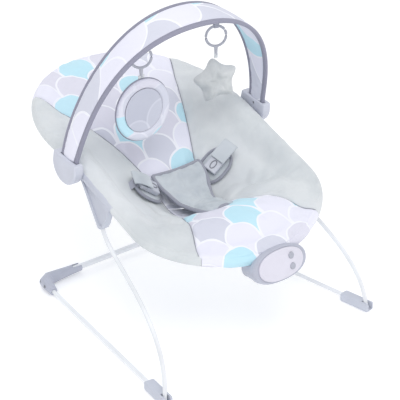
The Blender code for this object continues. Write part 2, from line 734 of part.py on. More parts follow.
def toy_bar():
    strip_rings = [bar_ring(s, -0.0075, STRIP_THICKNESS) for s in bar_stations(0.0120)]
    loft("bar_strip", strip_rings, PALE_PLASTIC, BAR_PIVOT)
    stations = bar_stations(0.0045)
    outer = [bar_ring(s, 0.0, BAR_THICKNESS) for s in stations]
    inner = [bar_ring(s, -0.0068, STRIP_THICKNESS + 2 * RUNNING_GAP) for s in stations]
    bm = skin_rings(outer, closed_ends=False)
    hollow = skin_rings(inner, closed_ends=False)
    scratch = bpy.data.meshes.new("bar_hollow")
    hollow.to_mesh(scratch)
    hollow.free()
    bm.from_mesh(scratch)
    bpy.data.meshes.remove(scratch)
    bm.verts.ensure_lookup_table()
    ring_count = 4
    second = len(outer) * ring_count
    for base in (0, (len(outer) - 1) * ring_count):
        for i in range(ring_count):
            j = (i + 1) % ring_count
            corners = [bm.verts[k] for k in (base + i, base + j, second + base + j, second + base + i)]
            bm.faces.new(corners)
    mesh_object("bar_sleeve", bm, PRINT_FABRIC, BAR_PIVOT)


def cap_outline():
    """Shield outline in (y, z): a rounded lower end and a slanted top edge along the bar."""
    points = [(0.0365, 0.3385), (0.1005, 0.3505)]
    for i in range(15):
        angle = -math.pi * i / 14
        points.append((0.0705 + 0.0345 * math.cos(angle), 0.3290 + 0.0350 * math.sin(angle)))
    return points


def bar_end_cap(side):
    cap = prism_x(
        side_name("bar_end_cap", side), cap_outline(), CAP_INNER_X, CAP_OUTER_X, side,
        origin=(0, BAR_PIVOT.y, BAR_PIVOT.z),
    )
    bevel(cap, 0.0028, 3)
    centre, across, outward, width, along = bar_section(side)
    base = Matrix((across, along * side, outward)).transposed().to_4x4()
    matrix = Matrix.Translation(centre) @ base
    half = width / 2 + CLEARANCE
    deep = BAR_THICKNESS / 2 + CLEARANCE
    cut(cap, block(f"{cap.name}_sleeve_cutter", matrix, (-half, -0.03, -deep), (half, 0.0050, deep), STEEL))
    half -= 0.0075
    deep = STRIP_THICKNESS / 2 + CLEARANCE
    cut(cap, block(f"{cap.name}_strip_cutter", matrix, (-half, -0.03, -deep), (half, 0.0125, deep), STEEL))
    bore = [Vector((side * x, BAR_PIVOT.y, BAR_PIVOT.z)) for x in (0.200, 0.2158)]
    bore_radius = PIVOT_PIN_RADIUS + RUNNING_GAP
    cut(cap, cylinder(f"{cap.name}_bore_cutter", bore[0], bore[1], bore_radius, STEEL, 20))
    head = Vector((side * (CAP_INNER_X + 0.0006), 0.0655, 0.3350))
    screw_hole(cap, head, (side, 0, 0), radius=0.0026, length=0.0052)
    screw(side_name("cap_screw", side), head, (side, 0, 0), radius=0.0026, length=0.0050)


# ---------------------------------------------------------------- toys

def ring_frame(side):
    """Local X along the ring's tangent at its top, Y along its axis and Z up."""
    turn = Matrix.Rotation(RING_TURN, 4, "Z")
    return Matrix.Translation((side * TOY_X, TOY_Y, RING_TOP_Z)) @ turn


def bar_underside(x):
    """Height of the bar's lower face above the toys' hanging line."""
    best = min((abs(abs(bar_section(i / 200)[0].x) - abs(x)), i / 200) for i in range(1, 200))[1]
    centre, across, outward, _, _ = bar_section(best)
    along_width = (TOY_Y - centre.y) / across.y
    return (centre + across * along_width - outward * BAR_THICKNESS / 2).z


def toy_loop(side):
    """Webbing loop sewn under the bar; the ring link hangs in its lower bend."""
    matrix = ring_frame(side)
    inside, thick, half = 0.0032, 0.0011, 0.0045
    bottom = -(inside - RING_WIRE) + 0.0006
    top = bar_underside(TOY_X) - RING_TOP_Z - thick - inside - 0.0068
    rings = []
    for i in range(16):
        angle = math.pi * i / 7 if i < 8 else math.pi + math.pi * (i - 8) / 7
        centre_z = top if i < 8 else bottom
        y, z = math.cos(angle), math.sin(angle)
        near = Vector((0, inside * y, centre_z + inside * z))
        far = Vector((0, (inside + thick) * y, centre_z + (inside + thick) * z))
        shift = Vector((half, 0, 0))
        rings.append([matrix @ p for p in (near - shift, near + shift, far + shift, far - shift)])
    bm = skin_rings(rings + [rings[0]], closed_ends=False)
    bmesh.ops.remove_doubles(bm, verts=bm.verts, dist=1e-6)
    mesh_object(side_name("toy_loop", side), bm, WEBBING, BAR_PIVOT)


def ring_link(side):
    """C-shaped hook ring with a moulded stem below it."""
    matrix = ring_frame(side)
    gap_start, gap_end = math.radians(52), math.radians(61)
    sweep = 2 * math.pi - (gap_end - gap_start)
    points = []
    for i in range(31):
        angle = gap_end + sweep * i / 30
        around = Vector((math.sin(angle), 0, math.cos(angle) - 1))
        points.append(matrix @ (around * RING_RADIUS))
    link = rod_mesh(side_name("ring_link", side), points, RING_WIRE, GREY_PLASTIC, 8)
    rings = []
    stem_top = -2 * RING_RADIUS - 0.0005
    stem_end = STEM_END_Z - RING_TOP_Z
    stations = (
        (stem_top + 0.0012, 0.0050), (stem_top - 0.003, 0.0036), (stem_end + 0.003, 0.0031),
        (stem_end - 0.0022, 0.0026), (stem_end - 0.0031, 0.0014),
    )
    for height, wide in stations:
        angles = [2 * math.pi * k / 10 for k in range(10)]
        rings.append([
            matrix @ Vector((wide * math.cos(a), min(wide, 0.0022) * math.sin(a), height)) for a in angles
        ])
    join(link, loft(f"{link.name}_stem", rings, GREY_PLASTIC))


def mirror_toy():
    """Padded fabric disc that frames a flexible mirror on its front."""
    top = STEM_END_Z - TOY_GAP
    centre = Vector((-TOY_X, TOY_Y, top - MIRROR_TOY_RADIUS))
    matrix = Matrix.Translation(centre) @ Matrix.Rotation(MIRROR_TOY_TURN, 4, "Z") @ Matrix.Rotation(
        math.radians(90), 4, "X"
    )
    radius = MIRROR_TOY_RADIUS
    profile = ((0.90 * radius, -0.0075), (radius, -0.002), (radius, 0.002), (0.90 * radius, 0.0080),
               (MIRROR_SHARE * radius, 0.0080), (MIRROR_SHARE * radius, 0.0052))
    rings = [
        [matrix @ Vector((r * math.cos(a), r * math.sin(a), depth))
         for a in [2 * math.pi * k / 28 for k in range(28)]]
        for r, depth in profile
    ]
    origin = Vector((-TOY_X, TOY_Y, STEM_END_Z))
    loft("mirror_toy", rings, PRINT_FABRIC, origin)
    start = matrix @ Vector((0, 0, 0.0052 + CLEARANCE))
    end = matrix @ Vector((0, 0, 0.0066))
    cylinder("mirror", start, end, MIRROR_SHARE * radius - 0.0006, MIRROR_FILM, 28, origin)


def star_toy():
    """Stuffed five-pointed star."""
    centre = Vector((TOY_X, TOY_Y, STEM_END_Z - TOY_GAP - STAR_RADIUS))
    rings = []
    for depth, size in ((-0.013, 0.55), (-0.0085, 0.88), (0.0, 1.0), (0.0085, 0.88), (0.013, 0.55)):
        ring = []
        for k in range(20):
            angle = 2 * math.pi * k / 20
            reach = (1.0, 0.80, 0.60, 0.80)[k % 4] * STAR_RADIUS * size
            ring.append(centre + Vector((reach * math.sin(angle), depth, reach * math.cos(angle))))
        rings.append(ring)
    loft("star_toy", rings, PLUSH_FABRIC, Vector((TOY_X, TOY_Y, STEM_END_Z)), 60)


# ---------------------------------------------------------------- vibration unit

def unit_matrix():
    """Local X along the unit's width, Y up its face and Z out of its face."""
    up = Vector((0, math.sin(UNIT_TILT), math.cos(UNIT_TILT)))
    side = Vector((1, 0, 0))
    return Matrix.Translation(UNIT_CENTRE) @ Matrix((side, up, side.cross(up))).transposed().to_4x4()


def oval(matrix, half_wide, half_high, depth, count=36, power=2.25):
    points = []
    for k in range(count):
        angle = 2 * math.pi * k / count
        c, s = math.cos(angle), math.sin(angle)
        x = half_wide * math.copysign(abs(c) ** (2 / power), c)
        y = half_high * math.copysign(abs(s) ** (2 / power), s)
        points.append(matrix @ Vector((x, y, depth)))
    return points


def vibration_unit():
    matrix = unit_matrix()
    wide, high = UNIT_HALF_WIDTH, UNIT_HALF_HEIGHT
    sections = (
        (0.76 * wide, 0.66 * high, -UNIT_DEPTH), (0.84 * wide, 0.78 * high, -UNIT_DEPTH + 0.004),
        (0.92 * wide, 0.91 * high, -0.020), (0.945 * wide, 0.935 * high, -0.0085), (wide, high, -0.0072),
        (wide, high, 0.0),
        (0.965 * wide, 0.94 * high, 0.0045),
    )
    housing = loft("unit_housing", [oval(matrix, a, b, d) for a, b, d in sections], PALE_PLASTIC)
    wing = [p for p in loop_points(-1) if abs(p.x) < 0.088]
    join(housing, rod_mesh("unit_wing", wing, 0.0100, PALE_PLASTIC, 14))
    tube = [p for p in loop_points(-1) if abs(p.x) < 0.14]
    cut(housing, rod_mesh("unit_tube_cutter", tube, TUBE_RADIUS + CLEARANCE, STEEL, 14))
    drive_line = matrix @ Matrix.Translation((0, DRIVE_HEIGHT, 0))
    cavity = [oval(drive_line, *CAVITY_HALF, d) for d in (-0.040, -0.0012)]
    cut(housing, loft("unit_cavity_cutter", cavity, STEEL))
    seat_wide, seat_high = PLATE_HALF_WIDTH + CLEARANCE, PLATE_HALF_HEIGHT + CLEARANCE
    plate_seat = [oval(matrix, seat_wide, seat_high, d) for d in (0.0020, 0.02)]
    cut(housing, loft("unit_plate_cutter", plate_seat, STEEL))
    mouth = [oval(drive_line, MOUTH_HALF_WIDTH, CAVITY_HALF[1], d) for d in (-0.003, 0.0025)]
    cut(housing, loft("unit_mouth_cutter", mouth, STEEL))
    door_low, door_high = Vector((-0.037, -0.0185, 0)), Vector((0.021, 0.0045, 0))
    door_back, door_front = Vector((0, 0, -0.07)), Vector((0, 0, -0.035))
    cut(housing, block("unit_door_cutter", matrix, door_low + door_back, door_high + door_front, STEEL))
    inset = Vector((CLEARANCE * 2, CLEARANCE * 2, 0))
    door = block(
        "battery_door", matrix, door_low + inset + Vector((0, 0, -UNIT_DEPTH)),
        door_high - inset + Vector((0, 0, -0.0425)), PALE_PLASTIC,
    )
    head = matrix @ Vector((-0.008, -0.0150, -UNIT_DEPTH - 0.0006))
    inward = matrix.to_3x3() @ Vector((0, 0, 1))
    screw_hole(door, head, inward, radius=0.0022, length=0.0055)
    screw("battery_door_screw", head, inward, radius=0.0022, length=0.0052, head_height=0.0012)
    face_plate(matrix)
    drive(matrix)


def face_plate(matrix):
    a, b = PLATE_HALF_WIDTH, PLATE_HALF_HEIGHT
    sections = ((a, b, 0.0023), (a, b, 0.0062), (0.93 * a, 0.90 * b, 0.0080), (0.70 * a, 0.66 * b, 0.0088))
    plate = loft("unit_face", [oval(matrix, *s) for s in sections], FACE_PLASTIC)
    for label, sign in (("upper", 1), ("lower", -1)):
        height = sign * BUTTON_SPACING / 2
        ends = [matrix @ Vector((BUTTON_X, height, d)) for d in (-0.002, 0.02)]
        bore = BUTTON_RADIUS + RUNNING_GAP / 2
        cut(plate, cylinder(f"{label}_button_cutter", ends[0], ends[1], bore, STEEL, 20))
        profile = ((BUTTON_RADIUS, 0.0042), (BUTTON_RADIUS, 0.0094), (0.82 * BUTTON_RADIUS, 0.0106))
        base = matrix @ Matrix.Translation((BUTTON_X, height, 0))
        rings = [oval(base, r, r, d, 20, 2.0) for r, d in profile]
        loft(f"{label}_button", rings, GREY_PLASTIC, base.translation)


def drive(matrix):
    """Battery, contacts, board, motor and the off-centre weight that makes the seat buzz."""
    middle, depth = DRIVE_HEIGHT, DRIVE_DEPTH
    start = matrix @ Vector((-0.0440, middle, depth))
    end = matrix @ Vector((0.0040, middle, depth))
    cylinder("battery", start, end, BATTERY_RADIUS, BATTERY_SLEEVE, 20)
    for label, low, high in (("left", -0.0462, -0.0446), ("right", 0.0046, 0.0060)):
        block(
            f"battery_contact_{label}", matrix, (low, middle - 0.005, depth - 0.005),
            (high, middle + 0.005, depth + 0.005), STEEL,
        )
    shaft = [matrix @ Vector((x, middle, depth)) for x in (0.0085, 0.0250, 0.0320)]
    motor = cylinder("motor", shaft[0], shaft[1], 0.0085, STEEL, 18)
    join(motor, cylinder("motor_shaft", shaft[1] - (shaft[1] - shaft[0]) * 0.1, shaft[2], 0.0011, STEEL, 10))
    weight_profile = []
    for k in range(13):
        angle = math.pi * k / 12
        weight_profile.append((0.0085 * math.cos(angle), -0.0085 * math.sin(angle)))
    weight_profile += [(-0.0030, 0.0032), (0.0030, 0.0032)]
    rings = [
        [matrix @ Vector((x, middle + v, depth + u)) for u, v in weight_profile] for x in (0.0270, 0.0340)
    ]
    weight = loft("eccentric_weight", rings, STEEL, matrix @ Vector((0.030, middle, depth)))
    bore_end = matrix @ Vector((0.04, middle, depth))
    cut(weight, cylinder("weight_bore_cutter", shaft[1], bore_end, 0.0014, STEEL, 10))
    block("circuit_board", matrix, (-0.0260, -0.0195, -0.0052), (0.0320, 0.0045, -0.0038), BOARD_GREEN)


# ---------------------------------------------------------------- joint axes

def carriers():
    """Each moving group: its name, a point on its joint axis, what carries it and its pieces' names."""
    seat = (
        "leg_wire", "side_bracket", "bracket_cover", "bracket_screw", "upper_seat_tube", "lower_seat_tube",
        "back_panel", "seat_panel", "side_panel", "crotch_pad", "buckle_socket", "waist_strap",
        "unit_housing", "unit_face", "battery", "battery_contact", "circuit_board", "motor",
    )
    bar = ("bar_strip", "bar_sleeve", "bar_end_cap", "cap_screw", "toy_loop")
    unit = unit_matrix()
    groups = [
        ("seat_axis", Vector((0, FOOT.y, FOOT.z)), "base_frame", seat),
        ("bar_axis", BAR_PIVOT, "seat_axis", bar),
        ("weight_axis", unit @ Vector((0.030, DRIVE_HEIGHT, DRIVE_DEPTH)), "seat_axis",
         ("eccentric_weight",)),
        ("door_axis", unit @ Vector((-0.008, -0.007, -UNIT_DEPTH)), "seat_axis",
         ("battery_door", "battery_door_screw")),
    ]
    for label, sign in (("upper", 1), ("lower", -1)):
        place = unit @ Vector((BUTTON_X, sign * BUTTON_SPACING / 2, 0))
        groups.append((f"{label}_button_axis", place, "seat_axis", (f"{label}_button",)))
    for side, toy in ((1, ("star_toy",)), (-1, ("mirror_toy", "mirror"))):
        ring_axis = side_name("ring_axis", side)
        ring_top = ring_frame(side).translation
        stem_end = Vector((side * TOY_X, TOY_Y, STEM_END_Z))
        tongue_axis = side_name("tongue_axis", side)
        groups += [
            (ring_axis, ring_top, "bar_axis", (side_name("ring_link", side),)),
            (side_name("toy_axis", side), stem_end, ring_axis, toy),
            (tongue_axis, mirrored(BUCKLE_CENTRE, side), "seat_axis", (side_name("buckle_tongue", side),)),
        ]
    return groups


def hang_on_axes():
    """Puts each moving group under an empty on its joint axis, and everything else under the base."""
    points = {"base_frame": Vector()}
    empties = {"base_frame": bpy.data.objects.new("base_frame", None)}
    carrier_of = {}
    for name, point, parent, pieces in carriers():
        empties[name] = bpy.data.objects.new(name, None)
        empties[name].parent = empties[parent]
        empties[name].location = point - points[parent]
        points[name] = point
        carrier_of.update(dict.fromkeys(pieces, name))
    for obj in list(bpy.data.objects):
        if obj.type == "EMPTY":
            bpy.context.collection.objects.link(obj)
            continue
        stem = obj.name.removesuffix("_left").removesuffix("_right")
        carrier = carrier_of.get(obj.name) or carrier_of.get(stem, "base_frame")
        obj.parent = empties[carrier]
        obj.location = obj.location - points[carrier]
    empties["base_frame"].location = (0, -BASE_OFFSET, 0)


def main():
    clear_scene()
    rear_tube()
    for side in (1, -1):
        rear_elbow(side)
        floor_wire(side)
        front_foot(side)
        upright_wire(side)
        side_bracket(side)
        buckle(side)
        waist_strap(side)
        bar_end_cap(side)
        toy_loop(side)
        ring_link(side)
    seat_frame()
    seat_panels()
    crotch_pad()
    toy_bar()
    mirror_toy()
    star_toy()
    vibration_unit()
    hang_on_axes()


main()
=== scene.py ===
"""Infant bouncer seat: printed and plush sling cover, three-point harness, padded toy bar with two toys.

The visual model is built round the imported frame, in metres, +Z up and +Y towards the head end. The
shapes below count Y from the middle of the wire base, as the seat is laid out, and are moved to the
frame's own origin as they are made.
"""

import math

import bmesh
import bpy
import numpy as np
from mathutils import Matrix, Vector, noise


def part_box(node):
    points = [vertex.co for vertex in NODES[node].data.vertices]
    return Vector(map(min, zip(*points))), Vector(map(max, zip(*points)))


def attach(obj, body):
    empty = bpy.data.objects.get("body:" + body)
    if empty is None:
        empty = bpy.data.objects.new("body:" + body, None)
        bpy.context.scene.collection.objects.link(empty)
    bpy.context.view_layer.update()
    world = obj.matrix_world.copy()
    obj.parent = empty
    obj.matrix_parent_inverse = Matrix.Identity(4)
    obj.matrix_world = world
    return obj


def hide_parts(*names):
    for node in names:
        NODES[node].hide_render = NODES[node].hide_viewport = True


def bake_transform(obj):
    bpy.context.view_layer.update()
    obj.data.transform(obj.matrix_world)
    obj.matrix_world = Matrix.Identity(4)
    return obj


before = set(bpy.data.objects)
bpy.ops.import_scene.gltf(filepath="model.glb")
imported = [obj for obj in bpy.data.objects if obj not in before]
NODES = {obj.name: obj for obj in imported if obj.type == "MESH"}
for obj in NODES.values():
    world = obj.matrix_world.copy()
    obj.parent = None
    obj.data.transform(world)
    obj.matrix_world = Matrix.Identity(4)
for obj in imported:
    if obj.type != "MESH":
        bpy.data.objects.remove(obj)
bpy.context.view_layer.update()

HEEL_Y = 0.228
REAR_LOW, REAR_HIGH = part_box("rear_cross_tube")
SHIFT = Vector((0, (REAR_LOW.y + REAR_HIGH.y) / 2 - HEEL_Y, 0))

# Seat layout, as in the frame.
SEAT_HALF_WIDTH = 0.205
HEM_INSET = 0.008
SIDE_FOOT_Y, SIDE_HEAD_Y = -0.100, 0.140
FOOT_ROUND, HEAD_ROUND = 0.132, 0.195
FOOT_POWER, HEAD_POWER = 1.85, 2.05
EDGE_HEIGHT, EDGE_SLOPE, HEAD_SLOPE, EDGE_KINK_Y = 0.293, 0.39, 0.25, 0.085
MIDDLE_LINE = (
    (-0.235, 0.200), (-0.165, 0.243), (-0.120, 0.246), (-0.070, 0.219), (-0.020, 0.203),
    (0.016, 0.212), (0.060, 0.255), (0.120, 0.308), (0.190, 0.352), (0.260, 0.377), (0.335, 0.384),
)
PAD_LINE = ((-0.095, 0.2490), (-0.060, 0.2400), (-0.033, 0.2345), (0.000, 0.2400), (0.043, 0.2670))
PAD_HALF = (
    (-0.095, 0.0140), (-0.092, 0.0225), (-0.087, 0.0275), (-0.080, 0.0298), (-0.060, 0.0300),
    (-0.033, 0.0300), (-0.012, 0.0380), (0.014, 0.0500), (0.036, 0.0545), (0.043, 0.0530),
)
PAD_THICKNESS, PAD_FOLLOWS_SLING, PAD_HANG = 0.008, 0.35, 0.0075
PAD_BINDING, POCKET_BINDING = 0.0036, 0.0029
POCKET_HALF, POCKET_DROP, POCKET_SQUARE = (0.0350, 0.0240), -0.0085, 0.80
WAIST_HALF_WIDTH, SEAM_SLOPE_HEAD, SEAM_SLOPE_FOOT = 0.050, 0.50, 0.57
PANEL_SPLIT_Y = 0.005

BAR_FRONT_EDGE = (
    Vector((0.2141, 0.0425, 0.342)), Vector((0.2056, 0.0317, 0.380)),
    Vector((0.204, -0.025, 0.560)), Vector((0.0, -0.025, 0.560)),
)
BAR_REAR_EDGE = (
    Vector((0.2163, 0.086, 0.350)), Vector((0.2085, 0.071, 0.438)),
    Vector((0.141, 0.040, 0.582)), Vector((0.0, 0.040, 0.582)),
)
BAR_THICKNESS = 0.0076
TOY_X, TOY_Y = 0.084, 0.030
RING_TURN = math.radians(-22)
RING_TOP_Z = 0.527
STEM_END_Z, TOY_GAP = 0.4745, 0.0043
MIRROR_TOY_RADIUS, MIRROR_TOY_TURN = 0.0585, math.radians(-1)
STAR_RADIUS = 0.0465
BUCKLE_CENTRE = Vector((0.0745, 0.021, 0.2610))
BUCKLE_ANGLE, BUCKLE_LEAN = math.radians(36), 0.62
BUCKLE_LENGTH = 0.034


# ---------------------------------------------------------------- camera, light and floor

def aim(obj, target):
    direction = Vector(target) - obj.location
    obj.rotation_euler = direction.to_track_quat("-Z", "Y").to_euler()


CAMERA_AZIMUTH, CAMERA_ELEVATION = math.radians(-39.21), math.radians(26.95)
CAMERA_DISTANCE, CAMERA_LENS = 2.4436, 123.55
CAMERA_TARGET = Vector((-0.0260, -0.0973, 0.25))


def camera():
    """The photograph's view: from the front left, a little above the seat."""
    level = math.cos(CAMERA_ELEVATION)
    back = Vector((
        math.sin(CAMERA_AZIMUTH) * level, -math.cos(CAMERA_AZIMUTH) * level, math.sin(CAMERA_ELEVATION),
    ))
    data = bpy.data.cameras.new("camera")
    data.lens = CAMERA_LENS
    data.sensor_width = 36.0
    made = bpy.data.objects.new("camera", data)
    bpy.context.scene.collection.objects.link(made)
    made.location = CAMERA_TARGET + back * CAMERA_DISTANCE
    aim(made, CAMERA_TARGET)
    bpy.context.scene.camera = made


# Place, width and power of each area light; all of them aim at the seat's middle.
LIGHTS = {
    "key": ((-0.9, -1.3, 2.6), 1.6, 26),
    "fill": ((1.9, -1.6, 1.7), 1.8, 8),
    "rear": ((0.4, 2.0, 1.9), 1.6, 8),
}
LIGHT_TARGET = (0.0, 0.0, 0.25)
FLOOR_REACH = 14.0


def area_light(name, place, size, power):
    data = bpy.data.lights.new(name, "AREA")
    data.shape = "SQUARE"
    data.size = size
    data.energy = power
    made = bpy.data.objects.new(name, data)
    bpy.context.scene.collection.objects.link(made)
    made.location = place
    aim(made, LIGHT_TARGET)


def studio():
    """Soft light from a pale surround and three area lights, on a pale floor."""
    scene = bpy.context.scene
    scene.view_settings.view_transform = "Standard"
    world = bpy.data.worlds.new("studio")
    world.use_nodes = True
    background = world.node_tree.nodes["Background"]
    background.inputs["Color"].default_value = (0.97, 0.98, 1.0, 1.0)
    background.inputs["Strength"].default_value = 0.74
    scene.world = world
    for name, light in LIGHTS.items():
        area_light(name, *light)
    mesh = bpy.data.meshes.new("floor")
    corners = [(FLOOR_REACH * x, FLOOR_REACH * y, 0) for x, y in ((-1, -1), (1, -1), (1, 1), (-1, 1))]
    mesh.from_pydata(corners, [], [(0, 1, 2, 3)])
    floor = bpy.data.objects.new("floor", mesh)
    scene.collection.objects.link(floor)
    tree = Tree("floor_pale")
    shade = tree.noise(tree.position(), 3.0)
    tree.colour(tree.mix(shade, (0.93, 0.93, 0.93), (0.95, 0.95, 0.95)))
    tree.bsdf.inputs["Roughness"].default_value = 0.9
    tree.bsdf.inputs["Emission Color"].default_value = (1, 1, 1, 1)
    tree.bsdf.inputs["Emission Strength"].default_value = 0.20
    mesh.materials.append(tree.material)


# ---------------------------------------------------------------- materials

def tint(red, green, blue):
    """A display colour from 0 to 255 as linear light."""
    shares = (c / 255 for c in (red, green, blue))
    return tuple(c / 12.92 if c <= 0.04 else ((c + 0.055) / 1.055) ** 2.4 for c in shares)


class Tree:
    """A node material, with short calls for its nodes."""

    def __init__(self, name):
        self.material = bpy.data.materials.new(name)
        self.material.use_nodes = True
        self.nodes = self.material.node_tree.nodes
        self.links = self.material.node_tree.links
        self.bsdf = self.nodes["Principled BSDF"]

    def put(self, socket, value):
        if isinstance(value, bpy.types.NodeSocket):
            self.links.new(value, socket)
        elif isinstance(value, (int, float)):
            socket.default_value = value
        elif len(value) == 3 and len(socket.default_value) == 4:
            socket.default_value = (*value, 1.0)
        else:
            socket.default_value = value

    def math(self, operation, *values):
        node = self.nodes.new("ShaderNodeMath")
        node.operation = operation
        for socket, value in zip(node.inputs, values):
            self.put(socket, value)
        return node.outputs[0]

    def times(self, a, b):
        return self.math("MULTIPLY", a, b)

    def plus(self, a, b):
        return self.math("ADD", a, b)

    def minus(self, a, b):
        return self.math("SUBTRACT", a, b)

    def position(self):
        return self.nodes.new("ShaderNodeTexCoord").outputs["Object"]

    def fabric_place(self):
        """The place on the flat fabric, which every piece carries in its cloth attribute."""
        node = self.nodes.new("ShaderNodeAttribute")
        node.attribute_name = "cloth"
        return self.split(node.outputs["Vector"])[:2]

    def split(self, vector):
        node = self.nodes.new("ShaderNodeSeparateXYZ")
        self.put(node.inputs[0], vector)
        return node.outputs[0], node.outputs[1], node.outputs[2]

    def join(self, x, y, z=0.0):
        node = self.nodes.new("ShaderNodeCombineXYZ")
        for socket, value in zip(node.inputs, (x, y, z)):
            self.put(socket, value)
        return node.outputs[0]

    def noise(self, vector, scale, detail=3.0, roughness=0.5):
        node = self.nodes.new("ShaderNodeTexNoise")
        self.put(node.inputs["Vector"], vector)
        node.inputs["Scale"].default_value = scale
        node.inputs["Detail"].default_value = detail
        node.inputs["Roughness"].default_value = roughness
        return node.outputs["Fac"]

    def random(self, vector):
        node = self.nodes.new("ShaderNodeTexWhiteNoise")
        self.put(node.inputs["Vector"], vector)
        return node.outputs["Value"]

    def steps(self, value, low, high, to_low=0.0, to_high=1.0):
        node = self.nodes.new("ShaderNodeMapRange")
        for socket, given in zip(node.inputs, (value, low, high, to_low, to_high)):
            self.put(socket, given)
        return node.outputs[0]

    def mix(self, share, a, b):
        node = self.nodes.new("ShaderNodeMix")
        node.data_type = "RGBA"
        self.put(node.inputs["Factor"], share)
        self.put(node.inputs[6], a)
        self.put(node.inputs[7], b)
        return node.outputs[2]

    def colour(self, value):
        self.put(self.bsdf.inputs["Base Color"], value)

    def rough(self, value, low, high):
        self.put(self.bsdf.inputs["Roughness"], self.steps(value, 0.0, 1.0, low, high))

    def bump(self, height, distance, strength=1.0, below=None):
        node = self.nodes.new("ShaderNodeBump")
        node.inputs["Distance"].default_value = distance
        node.inputs["Strength"].default_value = strength
        self.put(node.inputs["Height"], height)
        if below is not None:
            self.put(node.inputs["Normal"], below)
        self.put(self.bsdf.inputs["Normal"], node.outputs[0])
        return node.outputs[0]

    def sheen(self, weight, roughness=0.5):
        self.bsdf.inputs["Sheen Weight"].default_value = weight
        self.bsdf.inputs["Sheen Roughness"].default_value = roughness

    def painted_edge_highlight(self, colour, edge, amount=0.35):
        """Convex edges painted lighter, from the surface's own curvature: a painted highlight."""
        geometry = self.nodes.new("ShaderNodeNewGeometry")
        sharp = self.steps(geometry.outputs["Pointiness"], 0.53, 0.62, 0.0, amount)
        return self.mix(sharp, colour, edge)


def weave(tree, vector, threads_per_metre, depth):
    """Two crossed sets of threads, as height."""
    x, y, _ = tree.split(vector)
    turn = 2 * math.pi * threads_per_metre
    warp = tree.math("SINE", tree.times(x, turn))
    weft = tree.math("SINE", tree.times(y, turn))
    return tree.bump(tree.steps(tree.times(warp, weft), -1.0, 1.0), depth)


def scallop_print(name, layout, colours, accents, outline=(244, 245, 252)):
    """A printed knit: rows of overlapping scallops with pale outlines, on the fabric's own coordinates.

    layout is (cell width, row spacing, first row, centre of the even rows); accents gives, for each
    colour, the cells that have it as (row, centre).
    """
    tree = Tree(name)
    wide, spacing, first, even = layout
    x, s = tree.fabric_place()
    radius = wide / 2
    row = tree.math("CEIL", tree.math("DIVIDE", tree.minus(s, first), spacing))

    def cell(which):
        """Centre of the scallop of this row that holds the point, and the depth inside its outline."""
        odd = tree.math("FLOORED_MODULO", which, 2.0)
        start = tree.math("MULTIPLY_ADD", odd, -radius, even)
        steps = tree.math("ROUND", tree.math("DIVIDE", tree.minus(x, start), wide))
        centre = tree.math("MULTIPLY_ADD", steps, wide, start)
        aside = tree.minus(x, centre)
        depth = tree.minus(tree.math("MULTIPLY_ADD", which, spacing, first), s)
        below = tree.math("MAXIMUM", tree.minus(radius, depth), 0.0)
        squares = tree.plus(tree.times(aside, aside), tree.times(below, below))
        return centre, tree.minus(radius, tree.math("SQRT", squares))

    near_centre, near_edge = cell(row)
    far_row = tree.plus(row, 1.0)
    far_centre, far_edge = cell(far_row)
    inside = tree.math("GREATER_THAN", near_edge, 0.0)
    outside = tree.minus(1.0, inside)

    def chosen(near, far):
        return tree.plus(tree.times(near, inside), tree.times(far, outside))

    which, centre = chosen(row, far_row), chosen(near_centre, far_centre)
    edge = chosen(near_edge, far_edge)
    pick = tree.random(tree.join(which, tree.math("ROUND", tree.math("DIVIDE", centre, radius / 2))))
    colour = tree.mix(tree.math("GREATER_THAN", pick, 0.50), colours[0], colours[1])
    colour = tree.mix(tree.math("GREATER_THAN", pick, 0.74), colour, colours[2])
    for shade, places in accents:
        for at_row, at_centre in places:
            same_row = tree.math("COMPARE", which, float(at_row), 0.4)
            same_cell = tree.math("COMPARE", centre, at_centre, 0.3 * wide)
            colour = tree.mix(tree.times(same_row, same_cell), colour, shade)
    cloth = tree.join(x, s)
    wander = tree.steps(tree.noise(cloth, 60.0), 0.3, 0.7, -0.0006, 0.0006)
    width = tree.steps(tree.noise(cloth, 14.0), 0.3, 0.7, 0.0026, 0.0040)
    line = tree.steps(tree.plus(edge, wander), width, tree.plus(width, 0.0006), 1.0, 0.0)
    colour = tree.mix(line, colour, tint(*outline))
    faded = tree.noise(cloth, 9.0, 4.0)
    colour = tree.mix(tree.steps(faded, 0.35, 0.75, 0.0, 0.10), colour, tint(250, 250, 255))
    threads = tree.noise(cloth, 1400.0, 2.0)
    colour = tree.mix(tree.steps(threads, 0.3, 0.7, 0.0, 0.07), colour, tint(170, 172, 190))
    tree.colour(colour)
    tree.rough(threads, 0.78, 0.92)
    tree.sheen(0.18)
    knit = weave(tree, cloth, 620.0, 0.00012)
    tree.bump(tree.noise(cloth, 260.0, 3.0), 0.0005, 0.35, knit)
    return tree.material


def plush(name, base, deep, light, nap=1.0):
    """Short-pile velour: soft blotches where the nap leans, a fine pile and a strong sheen."""
    tree = Tree(name)
    place = tree.position()
    blotch = tree.noise(place, 16.0 * nap, 4.0, 0.55)
    drift = tree.noise(place, 5.0 * nap, 2.0)
    pile = tree.noise(place, 1700.0, 3.0, 0.7)
    colour = tree.mix(tree.steps(blotch, 0.40, 0.62), deep, base)
    colour = tree.mix(tree.steps(drift, 0.42, 0.70), colour, light)
    colour = tree.mix(tree.steps(pile, 0.35, 0.65, 0.12, 0.0), colour, deep)
    tree.colour(colour)
    tree.rough(blotch, 0.82, 0.98)
    tree.sheen(0.35, 0.4)
    soft = tree.bump(tree.noise(place, 90.0, 3.0), 0.0010, 0.30)
    tree.bump(pile, 0.0005, 0.5, soft)
    return tree.material


STITCH_PITCH, STITCH_HALF_WIDTH = 0.0032, 0.00045


